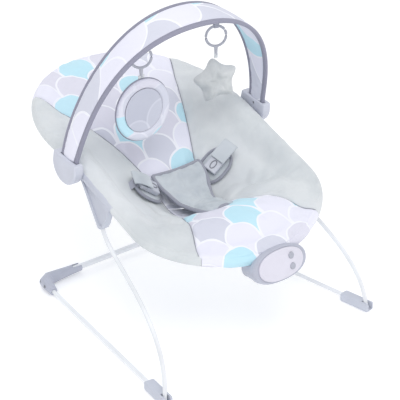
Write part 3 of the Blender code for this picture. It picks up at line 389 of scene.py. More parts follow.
def tape(name, base, groove, along=900.0, stitch=True):
    """Woven binding tape, with a line of stitches and painted shade in the groove beside them; its place on
    the fabric is (across, along).
    """
    tree = Tree(name)
    across, length = tree.fabric_place()
    ribs = tree.math("SINE", tree.times(length, 2 * math.pi * along))
    grain = tree.noise(tree.join(across, length), 700.0, 2.0)
    colour = tree.mix(tree.steps(grain, 0.3, 0.7, 0.0, 0.35), base, groove)
    height = tree.math("MULTIPLY_ADD", grain, 0.8, tree.times(ribs, 0.25))
    if stitch:
        beat = tree.math("SINE", tree.times(length, 2 * math.pi / STITCH_PITCH))
        on_line = tree.math("COMPARE", across, 0.0, STITCH_HALF_WIDTH)
        thread = tree.times(on_line, tree.math("GREATER_THAN", beat, -0.5))
        # Painted shade: the narrow band along the stitch line, which the bump sinks into a groove, is drawn
        # darker.
        near = tree.math("COMPARE", across, 0.0, 2 * STITCH_HALF_WIDTH)
        colour = tree.mix(tree.times(near, 0.45), colour, groove)
        colour = tree.mix(thread, colour, tuple(min(1.0, c * 1.25) for c in base))
        height = tree.minus(tree.math("MULTIPLY_ADD", thread, 1.6, height), tree.times(near, 1.8))
    tree.colour(colour)
    tree.rough(grain, 0.70, 0.88)
    tree.sheen(0.12)
    tree.bump(height, 0.0003, 0.8)
    return tree.material


def mirror_film():
    """A flexible mirror: a smooth grey film with faint curved reflections of the print around it."""
    tree = Tree("mirror_film")
    x, _, z = tree.split(tree.nodes.new("ShaderNodeTexCoord").outputs["Generated"])
    place = tree.position()
    colour = tree.mix(tree.noise(place, 14.0), tint(180, 183, 199), tint(192, 195, 209))
    for across, up, radius in ((0.30, -0.08, 0.36), (1.02, 0.22, 0.44)):
        dx, dz = tree.minus(x, across), tree.minus(z, up)
        far = tree.math("SQRT", tree.plus(tree.times(dx, dx), tree.times(dz, dz)))
        line = tree.times(tree.math("COMPARE", far, radius, 0.022), 0.55)
        inside = tree.times(tree.math("LESS_THAN", far, radius), 0.22)
        colour = tree.mix(tree.math("MAXIMUM", line, inside), colour, tint(214, 216, 228))
    tree.colour(colour)
    tree.rough(tree.noise(place, 60.0, 4.0), 0.12, 0.18)
    tree.bump(tree.noise(place, 40.0, 2.0), 0.0002, 0.3)
    tree.bsdf.inputs["Metallic"].default_value = 0.2
    tree.bsdf.inputs["Coat Weight"].default_value = 0.5
    return tree.material


def moulded(name, base, roughness=(0.34, 0.50), texture=0.00008, coat=0.0, metallic=0.0):
    """Moulded plastic or metal: a fine grain, faint flow shading and a painted highlight on convex edges."""
    tree = Tree(name)
    place = tree.position()
    flow = tree.noise(place, 22.0, 4.0)
    grain = tree.noise(place, 1100.0, 2.0)
    deep = tuple(0.93 * c for c in base)
    colour = tree.mix(tree.steps(flow, 0.35, 0.65), deep, base)
    # Painted highlight: convex edges drawn lighter from their curvature.
    colour = tree.painted_edge_highlight(colour, tuple(min(1.0, 1.10 * c) for c in base))
    tree.colour(colour)
    tree.rough(tree.noise(place, 60.0, 4.0), *roughness)
    tree.bump(grain, texture, 0.6)
    tree.bsdf.inputs["Metallic"].default_value = metallic
    tree.bsdf.inputs["Coat Weight"].default_value = coat
    tree.bsdf.inputs["Coat Roughness"].default_value = 0.2
    return tree.material


AQUA = tint(192, 232, 245)
LAVENDER, WHITE_LAVENDER, PINK_LAVENDER = tint(214, 216, 229), tint(235, 235, 248), tint(223, 222, 235)
PRINT_COLOURS = (LAVENDER, PINK_LAVENDER, WHITE_LAVENDER)
SLING_LAYOUT = (0.072, 0.047, 0.011, 0.033)
SLING_AQUA = (
    (2, 0.033), (4, -0.039), (4, 0.105), (6, 0.033), (6, -0.111), (8, -0.039), (-1, -0.075),
    (-2, 0.033), (-3, -0.003), (-3, 0.141), (-5, -0.075),
)
SLING_WHITE = ((3, 0.069), (-4, -0.039), (-4, 0.105))
BAR_LAYOUT = (0.100, 0.055, 0.030, 0.016)
BAR_AQUA = ((-3, 0.066), (-1, 0.066), (1, 0.066), (4, 0.016))
BAR_LAVENDER = ((-1, -0.034), (-5, 0.066), (1, -0.034), (6, 0.016))
TOY_LAYOUT = (0.060, 0.040, 0.004, 0.010)

MATERIALS = {}


def make_materials():
    MATERIALS.update(
        print=scallop_print(
            "sling_print", SLING_LAYOUT, PRINT_COLOURS, ((AQUA, SLING_AQUA), (WHITE_LAVENDER, SLING_WHITE)),
        ),
        bar_print=scallop_print(
            "bar_print", BAR_LAYOUT, (WHITE_LAVENDER, WHITE_LAVENDER, LAVENDER),
            ((AQUA, BAR_AQUA), (LAVENDER, BAR_LAVENDER)),
        ),
        toy_print=scallop_print(
            "toy_print", TOY_LAYOUT, (LAVENDER, LAVENDER, PINK_LAVENDER), ((AQUA, ((0, -0.05), (-1, 0.04))),),
            (226, 227, 238),
        ),
        plush=plush("side_plush", tint(217, 221, 223), tint(205, 210, 213), tint(224, 227, 230)),
        pad_plush=plush("pad_plush", tint(193, 200, 204), tint(176, 184, 191), tint(205, 210, 216), 1.6),
        star_plush=plush("star_plush", tint(207, 210, 211), tint(192, 196, 198), tint(216, 218, 220), 2.0),
        binding=tape("bar_binding", tint(152, 152, 170), tint(122, 122, 142)),
        harness=tape("harness_binding", tint(158, 160, 172), tint(126, 128, 142), 700.0, False),
        webbing=tape("harness_webbing", tint(176, 178, 190), tint(140, 142, 158), 800.0, False),
        piping=tape("toy_piping", tint(150, 150, 166), tint(120, 120, 138), 700.0, False),
        seam=tape("seam_thread", tint(162, 164, 175), tint(134, 136, 148), 500.0, False),
        wire=moulded("powder_coated_wire", tint(234, 236, 240), (0.26, 0.40), 0.00005, 0.25),
        elbow=moulded("corner_plastic", tint(184, 187, 201), (0.38, 0.55), 0.00010),
        bracket=moulded("bracket_plastic", tint(204, 207, 219), (0.34, 0.50)),
        shade=moulded("shaded_plastic", tint(198, 202, 214), (0.34, 0.50)),
        face=moulded("face_plastic", tint(220, 218, 230), (0.28, 0.42)),
        button=moulded("button_plastic", tint(176, 178, 190), (0.30, 0.45)),
        buckle=moulded("buckle_plastic", tint(192, 195, 205), (0.30, 0.46)),
        ring=moulded("ring_plastic", tint(184, 186, 196), (0.30, 0.45)),
        screw=moulded("zinc_screw", tint(150, 152, 158), (0.25, 0.45), 0.00004, 0.0, 1.0),
        inner=moulded("inner_plastic", tint(120, 122, 132), (0.40, 0.55)),
        mirror=mirror_film(),
    )


# ---------------------------------------------------------------- building helpers

def add_mesh(name, points, faces, material, body, cloth):
    """A piece from points counted from the base's middle; cloth gives each point's place on the fabric."""
    mesh = bpy.data.meshes.new(name)
    mesh.from_pydata([Vector(p) + SHIFT for p in points], [], faces)
    mesh.materials.append(MATERIALS[material])
    obj = bpy.data.objects.new(name, mesh)
    bpy.context.scene.collection.objects.link(obj)
    bm = bmesh.new()
    bm.from_mesh(mesh)
    bmesh.ops.recalc_face_normals(bm, faces=bm.faces)
    bm.to_mesh(mesh)
    bm.free()
    mesh.shade_smooth()
    attribute = mesh.attributes.new("cloth", "FLOAT_VECTOR", "POINT")
    attribute.data.foreach_set("vector", np.array(cloth, np.float32).reshape(-1))
    if body:
        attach(obj, body)
    return obj


def swept_faces(count, sides, closed=False):
    """Faces of a skin over count sections of sides points each; an open one is capped at both ends."""
    faces = []
    for i in range(count if closed else count - 1):
        j = (i + 1) % count
        for k in range(sides):
            m = (k + 1) % sides
            faces.append((i * sides + k, i * sides + m, j * sides + m, j * sides + k))
    if not closed:
        faces.append(tuple(range(sides)))
        faces.append(tuple((count - 1) * sides + k for k in range(sides)))
    return faces


def grid_shell(rows, columns):
    """Faces of a closed pad made of two grids of points, the top one first."""
    faces = []
    size = rows * columns
    for i in range(rows - 1):
        for j in range(columns - 1):
            a = i * columns + j
            b, c, d = a + 1, a + columns + 1, a + columns
            faces.append((a, b, c, d))
            faces.append((size + a, size + d, size + c, size + b))
    rim = list(range(columns))
    rim += [i * columns + columns - 1 for i in range(1, rows)]
    rim += [(rows - 1) * columns + j for j in range(columns - 2, -1, -1)]
    rim += [i * columns for i in range(rows - 2, 0, -1)]
    for k, a in enumerate(rim):
        b = rim[(k + 1) % len(rim)]
        faces.append((a, size + a, size + b, b))
    return faces


def disc_shell(rings, sides):
    """Faces of a closed pad: two sets of rings, from the rim inwards, each with a middle point."""
    faces = []
    size = rings * sides + 1
    for base in (0, size):
        for i in range(rings - 1):
            outer, inner = base + i * sides, base + (i + 1) * sides
            for k in range(sides):
                m = (k + 1) % sides
                faces.append((outer + k, outer + m, inner + m, inner + k))
        last = base + (rings - 1) * sides
        for k in range(sides):
            faces.append((last + k, last + (k + 1) % sides, base + size - 1))
    for k in range(sides):
        m = (k + 1) % sides
        faces.append((k, size + k, size + m, m))
    return faces


def circle(count):
    """Cosine and sine of evenly spaced angles round a circle."""
    angles = (2 * math.pi * k / count for k in range(count))
    return [(math.cos(angle), math.sin(angle)) for angle in angles]


def rounded(value, power):
    """A cosine or sine squared off by a power under 1."""
    return math.copysign(abs(value) ** power, value)


def clamped(value):
    return min(max(value, 0.0), 1.0)


def ease(t):
    return t * t * (3 - 2 * t)


def apply_modifier(obj, modifier):
    graph = bpy.context.evaluated_depsgraph_get()
    graph.update()
    evaluated = obj.evaluated_get(graph)
    fresh = bpy.data.meshes.new_from_object(evaluated, preserve_all_data_layers=True, depsgraph=graph)
    obj.modifiers.remove(modifier)
    old = obj.data
    obj.data = fresh
    bpy.data.meshes.remove(old)
    obj.data.shade_smooth()


def subdivide(obj):
    modifier = obj.modifiers.new("smooth", "SUBSURF")
    modifier.levels = modifier.render_levels = 1
    apply_modifier(obj, modifier)


# Share of the cloth's slide along its own surface that is kept, so that a print stays even.
SLIDE_KEPT = 0.2
CLOTH_FRAMES = 14


def inflate(obj, held, growth, pressure, most):
    """Fills the piece like a pillow.

    held gives each point's hold from 0 to 1, growth is the share by which the cloth is cut larger than
    the piece, and no point moves further than most.
    """
    before = np.array([v.co for v in obj.data.vertices])
    rest_normals = np.array([v.normal for v in obj.data.vertices])
    group = obj.vertex_groups.new(name="held")
    for index, weight in enumerate(held):
        if weight > 0:
            group.add([index], float(weight), "REPLACE")
    modifier = obj.modifiers.new("cloth", "CLOTH")
    settings = modifier.settings
    settings.quality = 6
    settings.mass = 0.2
    settings.tension_stiffness = 12
    settings.compression_stiffness = 12
    settings.shear_stiffness = 6
    settings.bending_stiffness = 0.25
    settings.air_damping = 3
    settings.use_pressure = True
    settings.uniform_pressure_force = pressure
    settings.shrink_min = -growth
    settings.vertex_group_mass = "held"
    settings.pin_stiffness = 4
    settings.effector_weights.gravity = 0
    modifier.collision_settings.use_collision = False
    modifier.point_cache.frame_start = 1
    modifier.point_cache.frame_end = CLOTH_FRAMES
    scene = bpy.context.scene
    for step in range(1, CLOTH_FRAMES + 1):
        scene.frame_set(step)
    apply_modifier(obj, modifier)
    scene.frame_set(1)
    after = np.array([v.co for v in obj.data.vertices])
    moved = after - before
    outwards = (moved * rest_normals).sum(axis=1, keepdims=True) * rest_normals
    moved = outwards + SLIDE_KEPT * (moved - outwards)
    length = np.linalg.norm(moved, axis=1, keepdims=True)
    final = before + moved * np.minimum(1.0, most / np.maximum(length, 1e-9))
    obj.data.vertices.foreach_set("co", final.astype(np.float32).reshape(-1))
    obj.data.update()
    obj.vertex_groups.clear()


def hermite(points, at):
    """A smooth line through (position, value) points, flat beyond its two ends."""
    if at <= points[0][0]:
        return points[0][1]
    for i in range(len(points) - 1):
        (x0, y0), (x1, y1) = points[i], points[i + 1]
        if at > x1:
            continue
        before = points[max(i - 1, 0)]
        after = points[min(i + 2, len(points) - 1)]
        slope0 = (y1 - before[1]) / (x1 - before[0])
        slope1 = (after[1] - y0) / (after[0] - x0)
        step = x1 - x0
        t = (at - x0) / step
        return (
            y0 * (2 * t ** 3 - 3 * t * t + 1) + slope0 * step * (t ** 3 - 2 * t * t + t)
            + y1 * (3 * t * t - 2 * t ** 3) + slope1 * step * (t ** 3 - t * t)
        )
    return points[-1][1]


def edge_height(y):
    if y < EDGE_KINK_Y:
        return EDGE_HEIGHT + EDGE_SLOPE * y
    return EDGE_HEIGHT + EDGE_SLOPE * EDGE_KINK_Y + HEAD_SLOPE * (y - EDGE_KINK_Y)


def half_width(y, inset):
    width = SEAT_HALF_WIDTH - inset
    if y < SIDE_FOOT_Y:
        part, power = (SIDE_FOOT_Y - y) / (FOOT_ROUND - inset), FOOT_POWER
    elif y > SIDE_HEAD_Y:
        part, power = (y - SIDE_HEAD_Y) / (HEAD_ROUND - inset), HEAD_POWER
    else:
        return width
    return width * max(1 - part ** power, 0.0) ** (1 / power)


def seam_half_width(y):
    if y > PANEL_SPLIT_Y:
        return WAIST_HALF_WIDTH + SEAM_SLOPE_HEAD * max(y - 0.045, 0.0)
    return WAIST_HALF_WIDTH + SEAM_SLOPE_FOOT * max(-0.040 - y, 0.0)


def surface_height(x, y):
    width = max(half_width(y, HEM_INSET), 0.02)
    share = 1 - min(abs(x) / width, 1.0) ** 1.5
    return edge_height(y) + (hermite(MIDDLE_LINE, y) - edge_height(y)) * share


def arc_table():
    """Length along the seat's middle line at each of many places in y, from the panels' split."""
    ys = np.linspace(-0.30, 0.40, 1401)
    zs = np.array([hermite(MIDDLE_LINE, y) for y in ys])
    steps = np.hypot(np.diff(ys), np.diff(zs))
    lengths = np.concatenate([[0.0], np.cumsum(steps)])
    return ys, lengths - np.interp(PANEL_SPLIT_Y, ys, lengths)


ARC_Y, ARC_S = arc_table()


def arc(y):
    return float(np.interp(y, ARC_Y, ARC_S))


# ---------------------------------------------------------------- sling cover

COVER_INSET = 0.0015
COVER_HALF = 0.0045
COVER_FILL, COVER_PRESSURE, COVER_MOST = 0.35, 3.2, 0.008
RIPPLE_PER_METRE, RIPPLE_HEIGHT = 46, 0.0012
HEAD_TIP, FOOT_TIP = 0.3325, -0.2295
SEAM_GAP = 0.0004
HEM_RADIUS, HEM_REACH = 0.0098, 0.022
RIM_BLEND = 0.045


def hold(distance, seam, beside, share):
    """How firmly a point this far from a seam is held: 1 at the seam, a share just beside it."""
    return 1.0 if distance < seam else share if distance < beside else 0.0


def rim_profile(distance, reach=0.010, least=0.22):
    """Share of the pad's thickness at this distance from a seam."""
    t = clamped(distance / reach)
    return least + (1 - least) * math.sqrt(1 - (1 - t) ** 2)


def panel(name, replaced, material, ys, left_of, right_of, columns, growth, puckers):
    """One padded panel of the sling, inflated between its seams."""
    points, held = [], []
    for layer in (1, -1):
        for y in ys:
            low, high = left_of(y), right_of(y)
            for j in range(columns):
                t = j / (columns - 1)
                x = low + (high - low) * t
                near = min(abs(x - low), abs(high - x), y - ys[0], ys[-1] - y)
                points.append((x, y, cover_middle(x, y) + layer * COVER_HALF * rim_profile(near)))
                held.append(hold(near, 0.0015, 0.005, 0.35))
    cloth = [(x, arc(y), 0.0) for x, y, _ in points]
    for index, (x, y, z) in enumerate(points):
        if held[index] < 1.0:
            place = Vector((x * RIPPLE_PER_METRE + 3.1, y * RIPPLE_PER_METRE, puckers))
            points[index] = (x, y, z + RIPPLE_HEIGHT * noise.noise(place))
    obj = add_mesh(name, points, grid_shell(len(ys), columns), material, "seat", cloth)
    inflate(obj, held, growth, COVER_PRESSURE, COVER_MOST)
    subdivide(obj)
    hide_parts(replaced)


def spread(start, end, count, crowd_start=False, crowd_end=False):
    """Stations from start to end, packed closer together at a crowded end."""
    values = []
    for i in range(count):
        t = i / (count - 1)
        if crowd_end:
            t = math.sin(math.pi / 2 * t)
        if crowd_start:
            t = 1 - math.sin(math.pi / 2 * (1 - t))
        values.append(start + (end - start) * t)
    return values


def rail_near(x, y):
    """Distance in plan from the frame tube's line, and the nearest place on it."""
    gaps = np.hypot(RAIL[:, 0] - x, RAIL[:, 1] - y)
    nearest = int(gaps.argmin())
    return float(gaps[nearest]), RAIL[nearest]


def hem_radius(x, y):
    """Outer radius of the hem: it is a little larger where it also wraps the unit's clamp."""
    over_unit = 1 - ease(clamped((abs(x) - 0.080) / 0.025)) if y < 0 else 0.0
    return HEM_RADIUS + 0.0019 * over_unit


def cover_middle(x, y):
    """Height of the cover's middle layer: the sling's hollow, brought up over the hem at the edge."""
    distance, rail = rail_near(x, y)
    radius = hem_radius(rail[0], rail[1])
    crest = rail[2] - 0.0010
    if abs(x) > half_width(y, HEM_INSET):
        return crest + math.sqrt(max(radius ** 2 - distance ** 2, (0.35 * radius) ** 2))
    hollow = surface_height(x, y) - COVER_HALF
    return hollow + (crest + radius - hollow) * (1 - ease(clamped((distance - 0.0030) / RIM_BLEND)))


def sling_cover():
    """The four panels; it gives the y of the side panels' head and foot ends."""
    def outer(y):
        return max(half_width(y, COVER_INSET), 0.004)

    def middle(y):
        return min(seam_half_width(y) - SEAM_GAP, outer(y))

    def other(y):
        return -middle(y)

    back = spread(PANEL_SPLIT_Y + 0.0006, HEAD_TIP, 72, crowd_end=True)
    panel("back_cover", "back_panel", "print", back, other, middle, 52, 0.020, 1.7)
    seat = spread(FOOT_TIP, PANEL_SPLIT_Y - 0.0006, 56, crowd_start=True)
    panel("seat_cover", "seat_panel", "print", seat, other, middle, 40, 0.024, 5.3)
    # The side panels end where their seams run into the hem.
    head_end = next(y for y in np.arange(0.15, 0.33, 0.0005) if seam_half_width(y) + 0.004 > outer(y))
    foot_end = next(y for y in np.arange(-0.12, -0.23, -0.0005) if seam_half_width(y) + 0.004 > outer(y))
    for side, label in ((-1, "left"), (1, "right")):
        panel(
            f"side_cover_{label}", f"side_panel_{label}", "plush", spread(foot_end, head_end, 84),
            lambda y: side * (seam_half_width(y) + SEAM_GAP), lambda y: side * outer(y),
            30, 0.026, 9.1 + side,
        )
    return head_end, foot_end


def end_curve(end, centre, reach, power):
    """A quarter of the frame's outline at its head or foot end, from the side to the tip."""
    width = SEAT_HALF_WIDTH - HEM_INSET
    points = []
    for i in range(64):
        angle = math.pi / 2 * i / 63
        x = width * math.cos(angle) ** (2 / power)
        points.append((x, centre + end * reach * math.sin(angle) ** (2 / power)))
    return points


def loop_line():
    """The frame tubes' centre line as one closed loop, anticlockwise from above."""
    head = end_curve(1, SIDE_HEAD_Y, HEAD_ROUND - HEM_INSET, HEAD_POWER)
    foot = end_curve(-1, SIDE_FOOT_Y, FOOT_ROUND - HEM_INSET, FOOT_POWER)
    side = [(SEAT_HALF_WIDTH - HEM_INSET, y) for y in np.linspace(SIDE_FOOT_Y, SIDE_HEAD_Y, 62)[1:-1]]
    right = foot[::-1] + side + head
    flat = right + [(-x, y) for x, y in right[::-1][1:-1]]
    return resample([Vector((x, y, edge_height(y))) for x, y in flat], 420, closed=True)


def resample(points, count, closed=False):
    """Evenly spaced points along a line."""
    line = [Vector(p) for p in points]
    if closed:
        line.append(line[0])
    array = np.array([tuple(p) for p in line])
    steps = np.linalg.norm(np.diff(array, axis=0), axis=1)
    along = np.concatenate([[0.0], np.cumsum(steps)])
    wanted = np.linspace(0, along[-1], count + 1)[:-1] if closed else np.linspace(0, along[-1], count)
    return [Vector([float(np.interp(w, along, array[:, k])) for k in range(3)]) for w in wanted]


RAIL = np.array([tuple(p) for p in loop_line()])
HEM_STEPS, HEM_START, HEM_SWEEP = 22, math.radians(150), math.radians(240)
HEM_CLOTH, TAIL_STEPS = 0.0011, 6
# The faces left open on the tube's outer and lower side, where the bracket's sleeve shows.
WINDOW_FACES, WINDOW_Y = range(10, 24), (-0.0365, 0.0600)


def hem_section(centre, outward):
    """Points round the tube, from beside the cover's edge, over the tube, to the tail under the cover."""
    radius = hem_radius(centre.x, centre.y)
    section = []
    for k in range(HEM_STEPS + 1):
        angle = HEM_START - HEM_SWEEP * k / HEM_STEPS
        section.append(centre + outward * radius * math.cos(angle) + Vector((0, 0, radius * math.sin(angle))))
    for k in range(1, TAIL_STEPS + 1):
        t = k / TAIL_STEPS
        place = centre - outward * HEM_REACH * t
        under = cover_middle(place.x, place.y) - COVER_HALF - 0.0008
        place.z = (centre.z - radius) * (1 - ease(t)) + under * ease(t)
        section.append(place)
    return section


def hem_piece(name, line, outwards, indices, material):
    """One length of the hem; the plush ones are open where the brackets hold the tube."""
    sections = [hem_section(line[i], outwards[i]) for i in indices]
    count = len(sections[0])
    points, cloth = [], []
    for i, section in zip(indices, sections):
        along = 0.0
        for k, point in enumerate(section):
            if k:
                along += (point - section[k - 1]).length
            flat = line[i] + outwards[i] * (HEM_RADIUS * math.cos(HEM_START) + along)
            points.append(point)
            cloth.append((flat.x, arc(line[i].y) + (flat.y - line[i].y), 0.0))
    faces = []
    for row in range(len(sections) - 1):
        y = sections[row][0].y
        for k in range(count - 1):
            a = row * count + k
            window = material == "plush" and WINDOW_Y[0] < y < WINDOW_Y[1] and k in WINDOW_FACES
            if not window:
                faces.append((a, a + 1, a + count + 1, a + count))
    obj = add_mesh(name, points, faces, material, "seat", cloth)
    first = obj.data.polygons[0]
    if first.normal.dot(first.center - SHIFT - line[indices[0]]) < 0:
        obj.data.flip_normals()
    solid = obj.modifiers.new("cloth_thickness", "SOLIDIFY")
    solid.thickness = HEM_CLOTH
    solid.offset = -1.0
    solid.use_rim = True
    apply_modifier(obj, solid)
    subdivide(obj)


def hem(head_end, foot_end):
    """The fabric channel round the frame tubes, in four lengths."""
    line = loop_line()
    count = len(line)
    outwards = []
    for i, place in enumerate(line):
        tangent = line[(i + 1) % count] - line[i - 1]
        outward = Vector((tangent.y, -tangent.x, 0)).normalized()
        inward = outward.dot(Vector((place.x, place.y - 0.03, 0))) < 0
        outwards.append(-outward if inward else outward)
    zones = {"head": [], "foot": [], "right": [], "left": []}
    head_limit = rail_near(seam_half_width(head_end), head_end)[1][1]
    foot_limit = rail_near(seam_half_width(foot_end), foot_end)[1][1]
    for i, point in enumerate(line):
        if point.y > head_limit:
            zones["head"].append(i)
        elif point.y < foot_limit:
            zones["foot"].append(i)
        else:
            zones["right" if point.x > 0 else "left"].append(i)
    for label, indices in zones.items():
        start = next(i for i in indices if (i - 1) % count not in indices)
        run = [(start + k) % count for k in range(len(indices))]
        run.append((run[-1] + 1) % count)
        material = "plush" if label in ("left", "right") else "print"
        hem_piece(f"hem_{label}", line, outwards, run, material)


def tube(name, points, radius, body, material, sides=10, closed=False, flat=1.0):
    """A round or flattened tube along points, closed at its ends."""
    points = [Vector(p) for p in points]
    count = len(points)
    rings, cloth = [], []
    length = 0.0
    turn = circle(sides)
    for i, place in enumerate(points):
        before = points[(i - 1) % count] if closed else points[max(i - 1, 0)]
        after = points[(i + 1) % count] if closed else points[min(i + 1, count - 1)]
        along = (after - before).normalized()
        hint = Vector((0, 0, 1))
        if abs(hint.dot(along)) > 0.97:
            hint = Vector((0, 1, 0))
        across = hint.cross(along).normalized()
        high = along.cross(across)
        if i:
            length += (place - points[i - 1]).length
        for k, (c, s) in enumerate(turn):
            rings.append(place + across * c * radius + high * s * radius * flat)
            cloth.append((radius * (2 * math.pi * k / sides - math.pi), length, 0.0))
    return add_mesh(name, rings, swept_faces(count, sides, closed), material, body, cloth)


SEAM_RADIUS, SEAM_RISE = 0.0007, 0.0011


def seams(head_end, foot_end):
    """Thin sewn lines where the printed panels meet the plush ones."""
    for side, label in ((-1, "left"), (1, "right")):
        points = []
        for y in np.linspace(foot_end + 0.001, head_end - 0.001, 150):
            x = side * seam_half_width(y)
            points.append((x, y, cover_middle(x, y) + SEAM_RISE))
        tube(f"panel_seam_{label}", points, SEAM_RADIUS, "seat", "seam", 6)


# ---------------------------------------------------------------- harness

def pad_height(x, y):
    """Height of the pad's top face: it bridges the seat's hollow, and its long edges hang a little."""
    across = min(abs(x) / hermite(PAD_HALF, y), 1.0)
    hang = PAD_HANG * across ** 3 * ease(clamped((0.010 - y) / 0.030))
    return hermite(PAD_LINE, y) + PAD_FOLLOWS_SLING * (surface_height(x, y) - surface_height(0, y)) - hang


PAD_ROWS, PAD_COLUMNS = 46, 27
PAD_CORE, PAD_GROWTH, PAD_PRESSURE, PAD_MOST = 0.8 * PAD_THICKNESS / 2, 0.05, 3.5, 0.006


def crotch_pad():
    """The plush pad between the legs, with its binding."""
    points, held = [], []
    start, end = PAD_HALF[0][0], PAD_HALF[-1][0]
    ys = [start + (end - start) * i / (PAD_ROWS - 1) for i in range(PAD_ROWS)]
    for layer in (1, -1):
        for y in ys:
            width = hermite(PAD_HALF, y)
            for j in range(PAD_COLUMNS):
                x = width * (2 * j / (PAD_COLUMNS - 1) - 1)
                near = min(width - abs(x), y - ys[0], ys[-1] - y)
                half = PAD_CORE * rim_profile(near, 0.009, 0.30)
                points.append((x, y, pad_height(x, y) - PAD_THICKNESS / 2 + layer * half))
                held.append(hold(near, 0.0012, 0.004, 0.3))
    cloth = [(x, y, 0.0) for x, y, _ in points]
    faces = grid_shell(PAD_ROWS, PAD_COLUMNS)
    obj = add_mesh("crotch_cushion", points, faces, "pad_plush", "seat", cloth)
    inflate(obj, held, PAD_GROWTH, PAD_PRESSURE, PAD_MOST)
    subdivide(obj)
    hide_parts("crotch_pad")
    outline = [(hermite(PAD_HALF, y), y) for y in ys]
    top = [(outline[-1][0] * (1 - 2 * k / 30), ys[-1]) for k in range(1, 30)]
    outline += top + [(-x, y) for x, y in outline[::-1]]
    outline += [(outline[0][0] * (2 * k / 10 - 1), ys[0]) for k in range(1, 10)]
    line = resample([(x, y, pad_height(x, y) - PAD_THICKNESS / 2) for x, y in outline], 240, closed=True)
    binding = tube("crotch_binding", line, PAD_BINDING, "seat", "harness", 10, True, 0.95)


def buckle_matrix(side):
    """Axes of a buckle: X outwards along its strap, Z out of its face."""
    centre = Vector((side * BUCKLE_CENTRE.x, BUCKLE_CENTRE.y, BUCKLE_CENTRE.z))
    outward = Vector((side * math.cos(BUCKLE_ANGLE), 0, math.sin(BUCKLE_ANGLE)))
    tilt = Vector((-side * math.sin(BUCKLE_ANGLE), -BUCKLE_LEAN, math.cos(BUCKLE_ANGLE)))
    aside = tilt.cross(outward).normalized()
    axes = Matrix((outward, aside, outward.cross(aside))).transposed()
    return Matrix.Translation(centre) @ axes.to_4x4()


def ribbon(name, route, half, thick, body, material, closed=False):
    """Flat webbing along a route of (centre, across, normal)."""
    profile = [(half * rounded(c, 0.35), thick * rounded(s, 0.6)) for c, s in circle(16)]
    points, cloth = [], []
    length = 0.0
    for i, (centre, across, normal) in enumerate(route):
        if i:
            length += (centre - route[i - 1][0]).length
        for out, up in profile:
            points.append(centre + across * out + normal * up)
            cloth.append((out, length, 0.0))
    return add_mesh(name, points, swept_faces(len(route), 16, closed), material, body, cloth)


def smooth_route(knots, matrix, count):
    """Knots (out, up) in the buckle's own plane as a ribbon route, on a smooth line through all of them."""
    across = (matrix.to_3x3() @ Vector((0, 1, 0))).normalized()
    places = [matrix @ Vector((out, 0, up)) for out, up in knots]
    line = []
    total = len(places)
    for i in range(count):
        t = i / (count - 1) * (total - 1)
        k = min(int(t), total - 2)
        u = t - k
        a, b = places[max(k - 1, 0)], places[k]
        c, d = places[k + 1], places[min(k + 2, total - 1)]
        bend = (2 * a - 5 * b + 4 * c - d) * u * u + (3 * b - a - 3 * c + d) * u ** 3
        line.append(0.5 * ((2 * b) + (c - a) * u + bend))
    route = []
    for i, place in enumerate(line):
        along = (line[min(i + 1, count - 1)] - line[max(i - 1, 0)]).normalized()
        route.append((place, across, along.cross(across).normalized()))
    return route


POCKET_RINGS, POCKET_SIDES = 6, 64
POCKET_EDGE, POCKET_CROWN = 0.0002, 0.0019


def pocket(matrix, label):
    """The end of the pad's arm: a soft oval under the buckle, with the binding sewn round its rim."""
    oval = [
        (POCKET_HALF[0] * rounded(c, POCKET_SQUARE), POCKET_HALF[1] * rounded(s, POCKET_SQUARE))
        for c, s in circle(POCKET_SIDES)
    ]
    points = []
    for layer in (1, -1):
        for i in range(POCKET_RINGS):
            share = 1 - i / POCKET_RINGS
            up = POCKET_DROP + layer * (POCKET_EDGE + POCKET_CROWN * math.sqrt(1 - share ** 2))
            points += [matrix @ Vector((out * share, aside * share, up)) for out, aside in oval]
        points.append(matrix @ Vector((0, 0, POCKET_DROP + layer * (POCKET_EDGE + POCKET_CROWN))))
    cloth = [(p.x, p.y, 0.0) for p in points]
    faces = disc_shell(POCKET_RINGS, POCKET_SIDES)
    cushion = add_mesh(f"buckle_pocket_{label}", points, faces, "pad_plush", "seat", cloth)
    rim = [matrix @ Vector((out, aside, POCKET_DROP)) for out, aside in oval]
    binding = tube(f"buckle_binding_{label}", rim, POCKET_BINDING, "seat", "harness", 10, True)


STRAP_HALF, STRAP_THICK = 0.0088, 0.0008
FLAP_HALF, FLAP_THICK = 0.0150, 0.0019
FLAP_KNOTS = (
    (0.0080, 0.0082), (0.0170, 0.0092), (0.0290, 0.0088),
    (0.0400, 0.0078), (0.0470, 0.0050), (0.0505, 0.0020),
)
# The tongue's slot for the webbing, from the buckle's middle: past the joint gap, inside the tongue.
TONGUE_SLOT = BUCKLE_LENGTH / 2 + 0.0006 + 0.0078
# The webbing rides on the tongue at one of these places in the buckle's plane and on the seat at the other.
STRAP_KNOTS = (
    (-0.0070, 0.0062), (-0.0010, 0.0060), (0.0004, 0.0020), (0.0004, -0.0030),
    (0.0040, -0.0046), (0.0092, -0.0066), (0.0118, -0.0120), (0.0124, -0.0220),
)
# The dark ring round the release button: its place, half size, height and thread radius; the ring is painted
# shade of the gap round the button.
RELEASE_X, RELEASE_HALF, RELEASE_UP, RELEASE_SHADE_RADIUS = -0.003, (0.0085, 0.0046), 0.0052, 0.0009


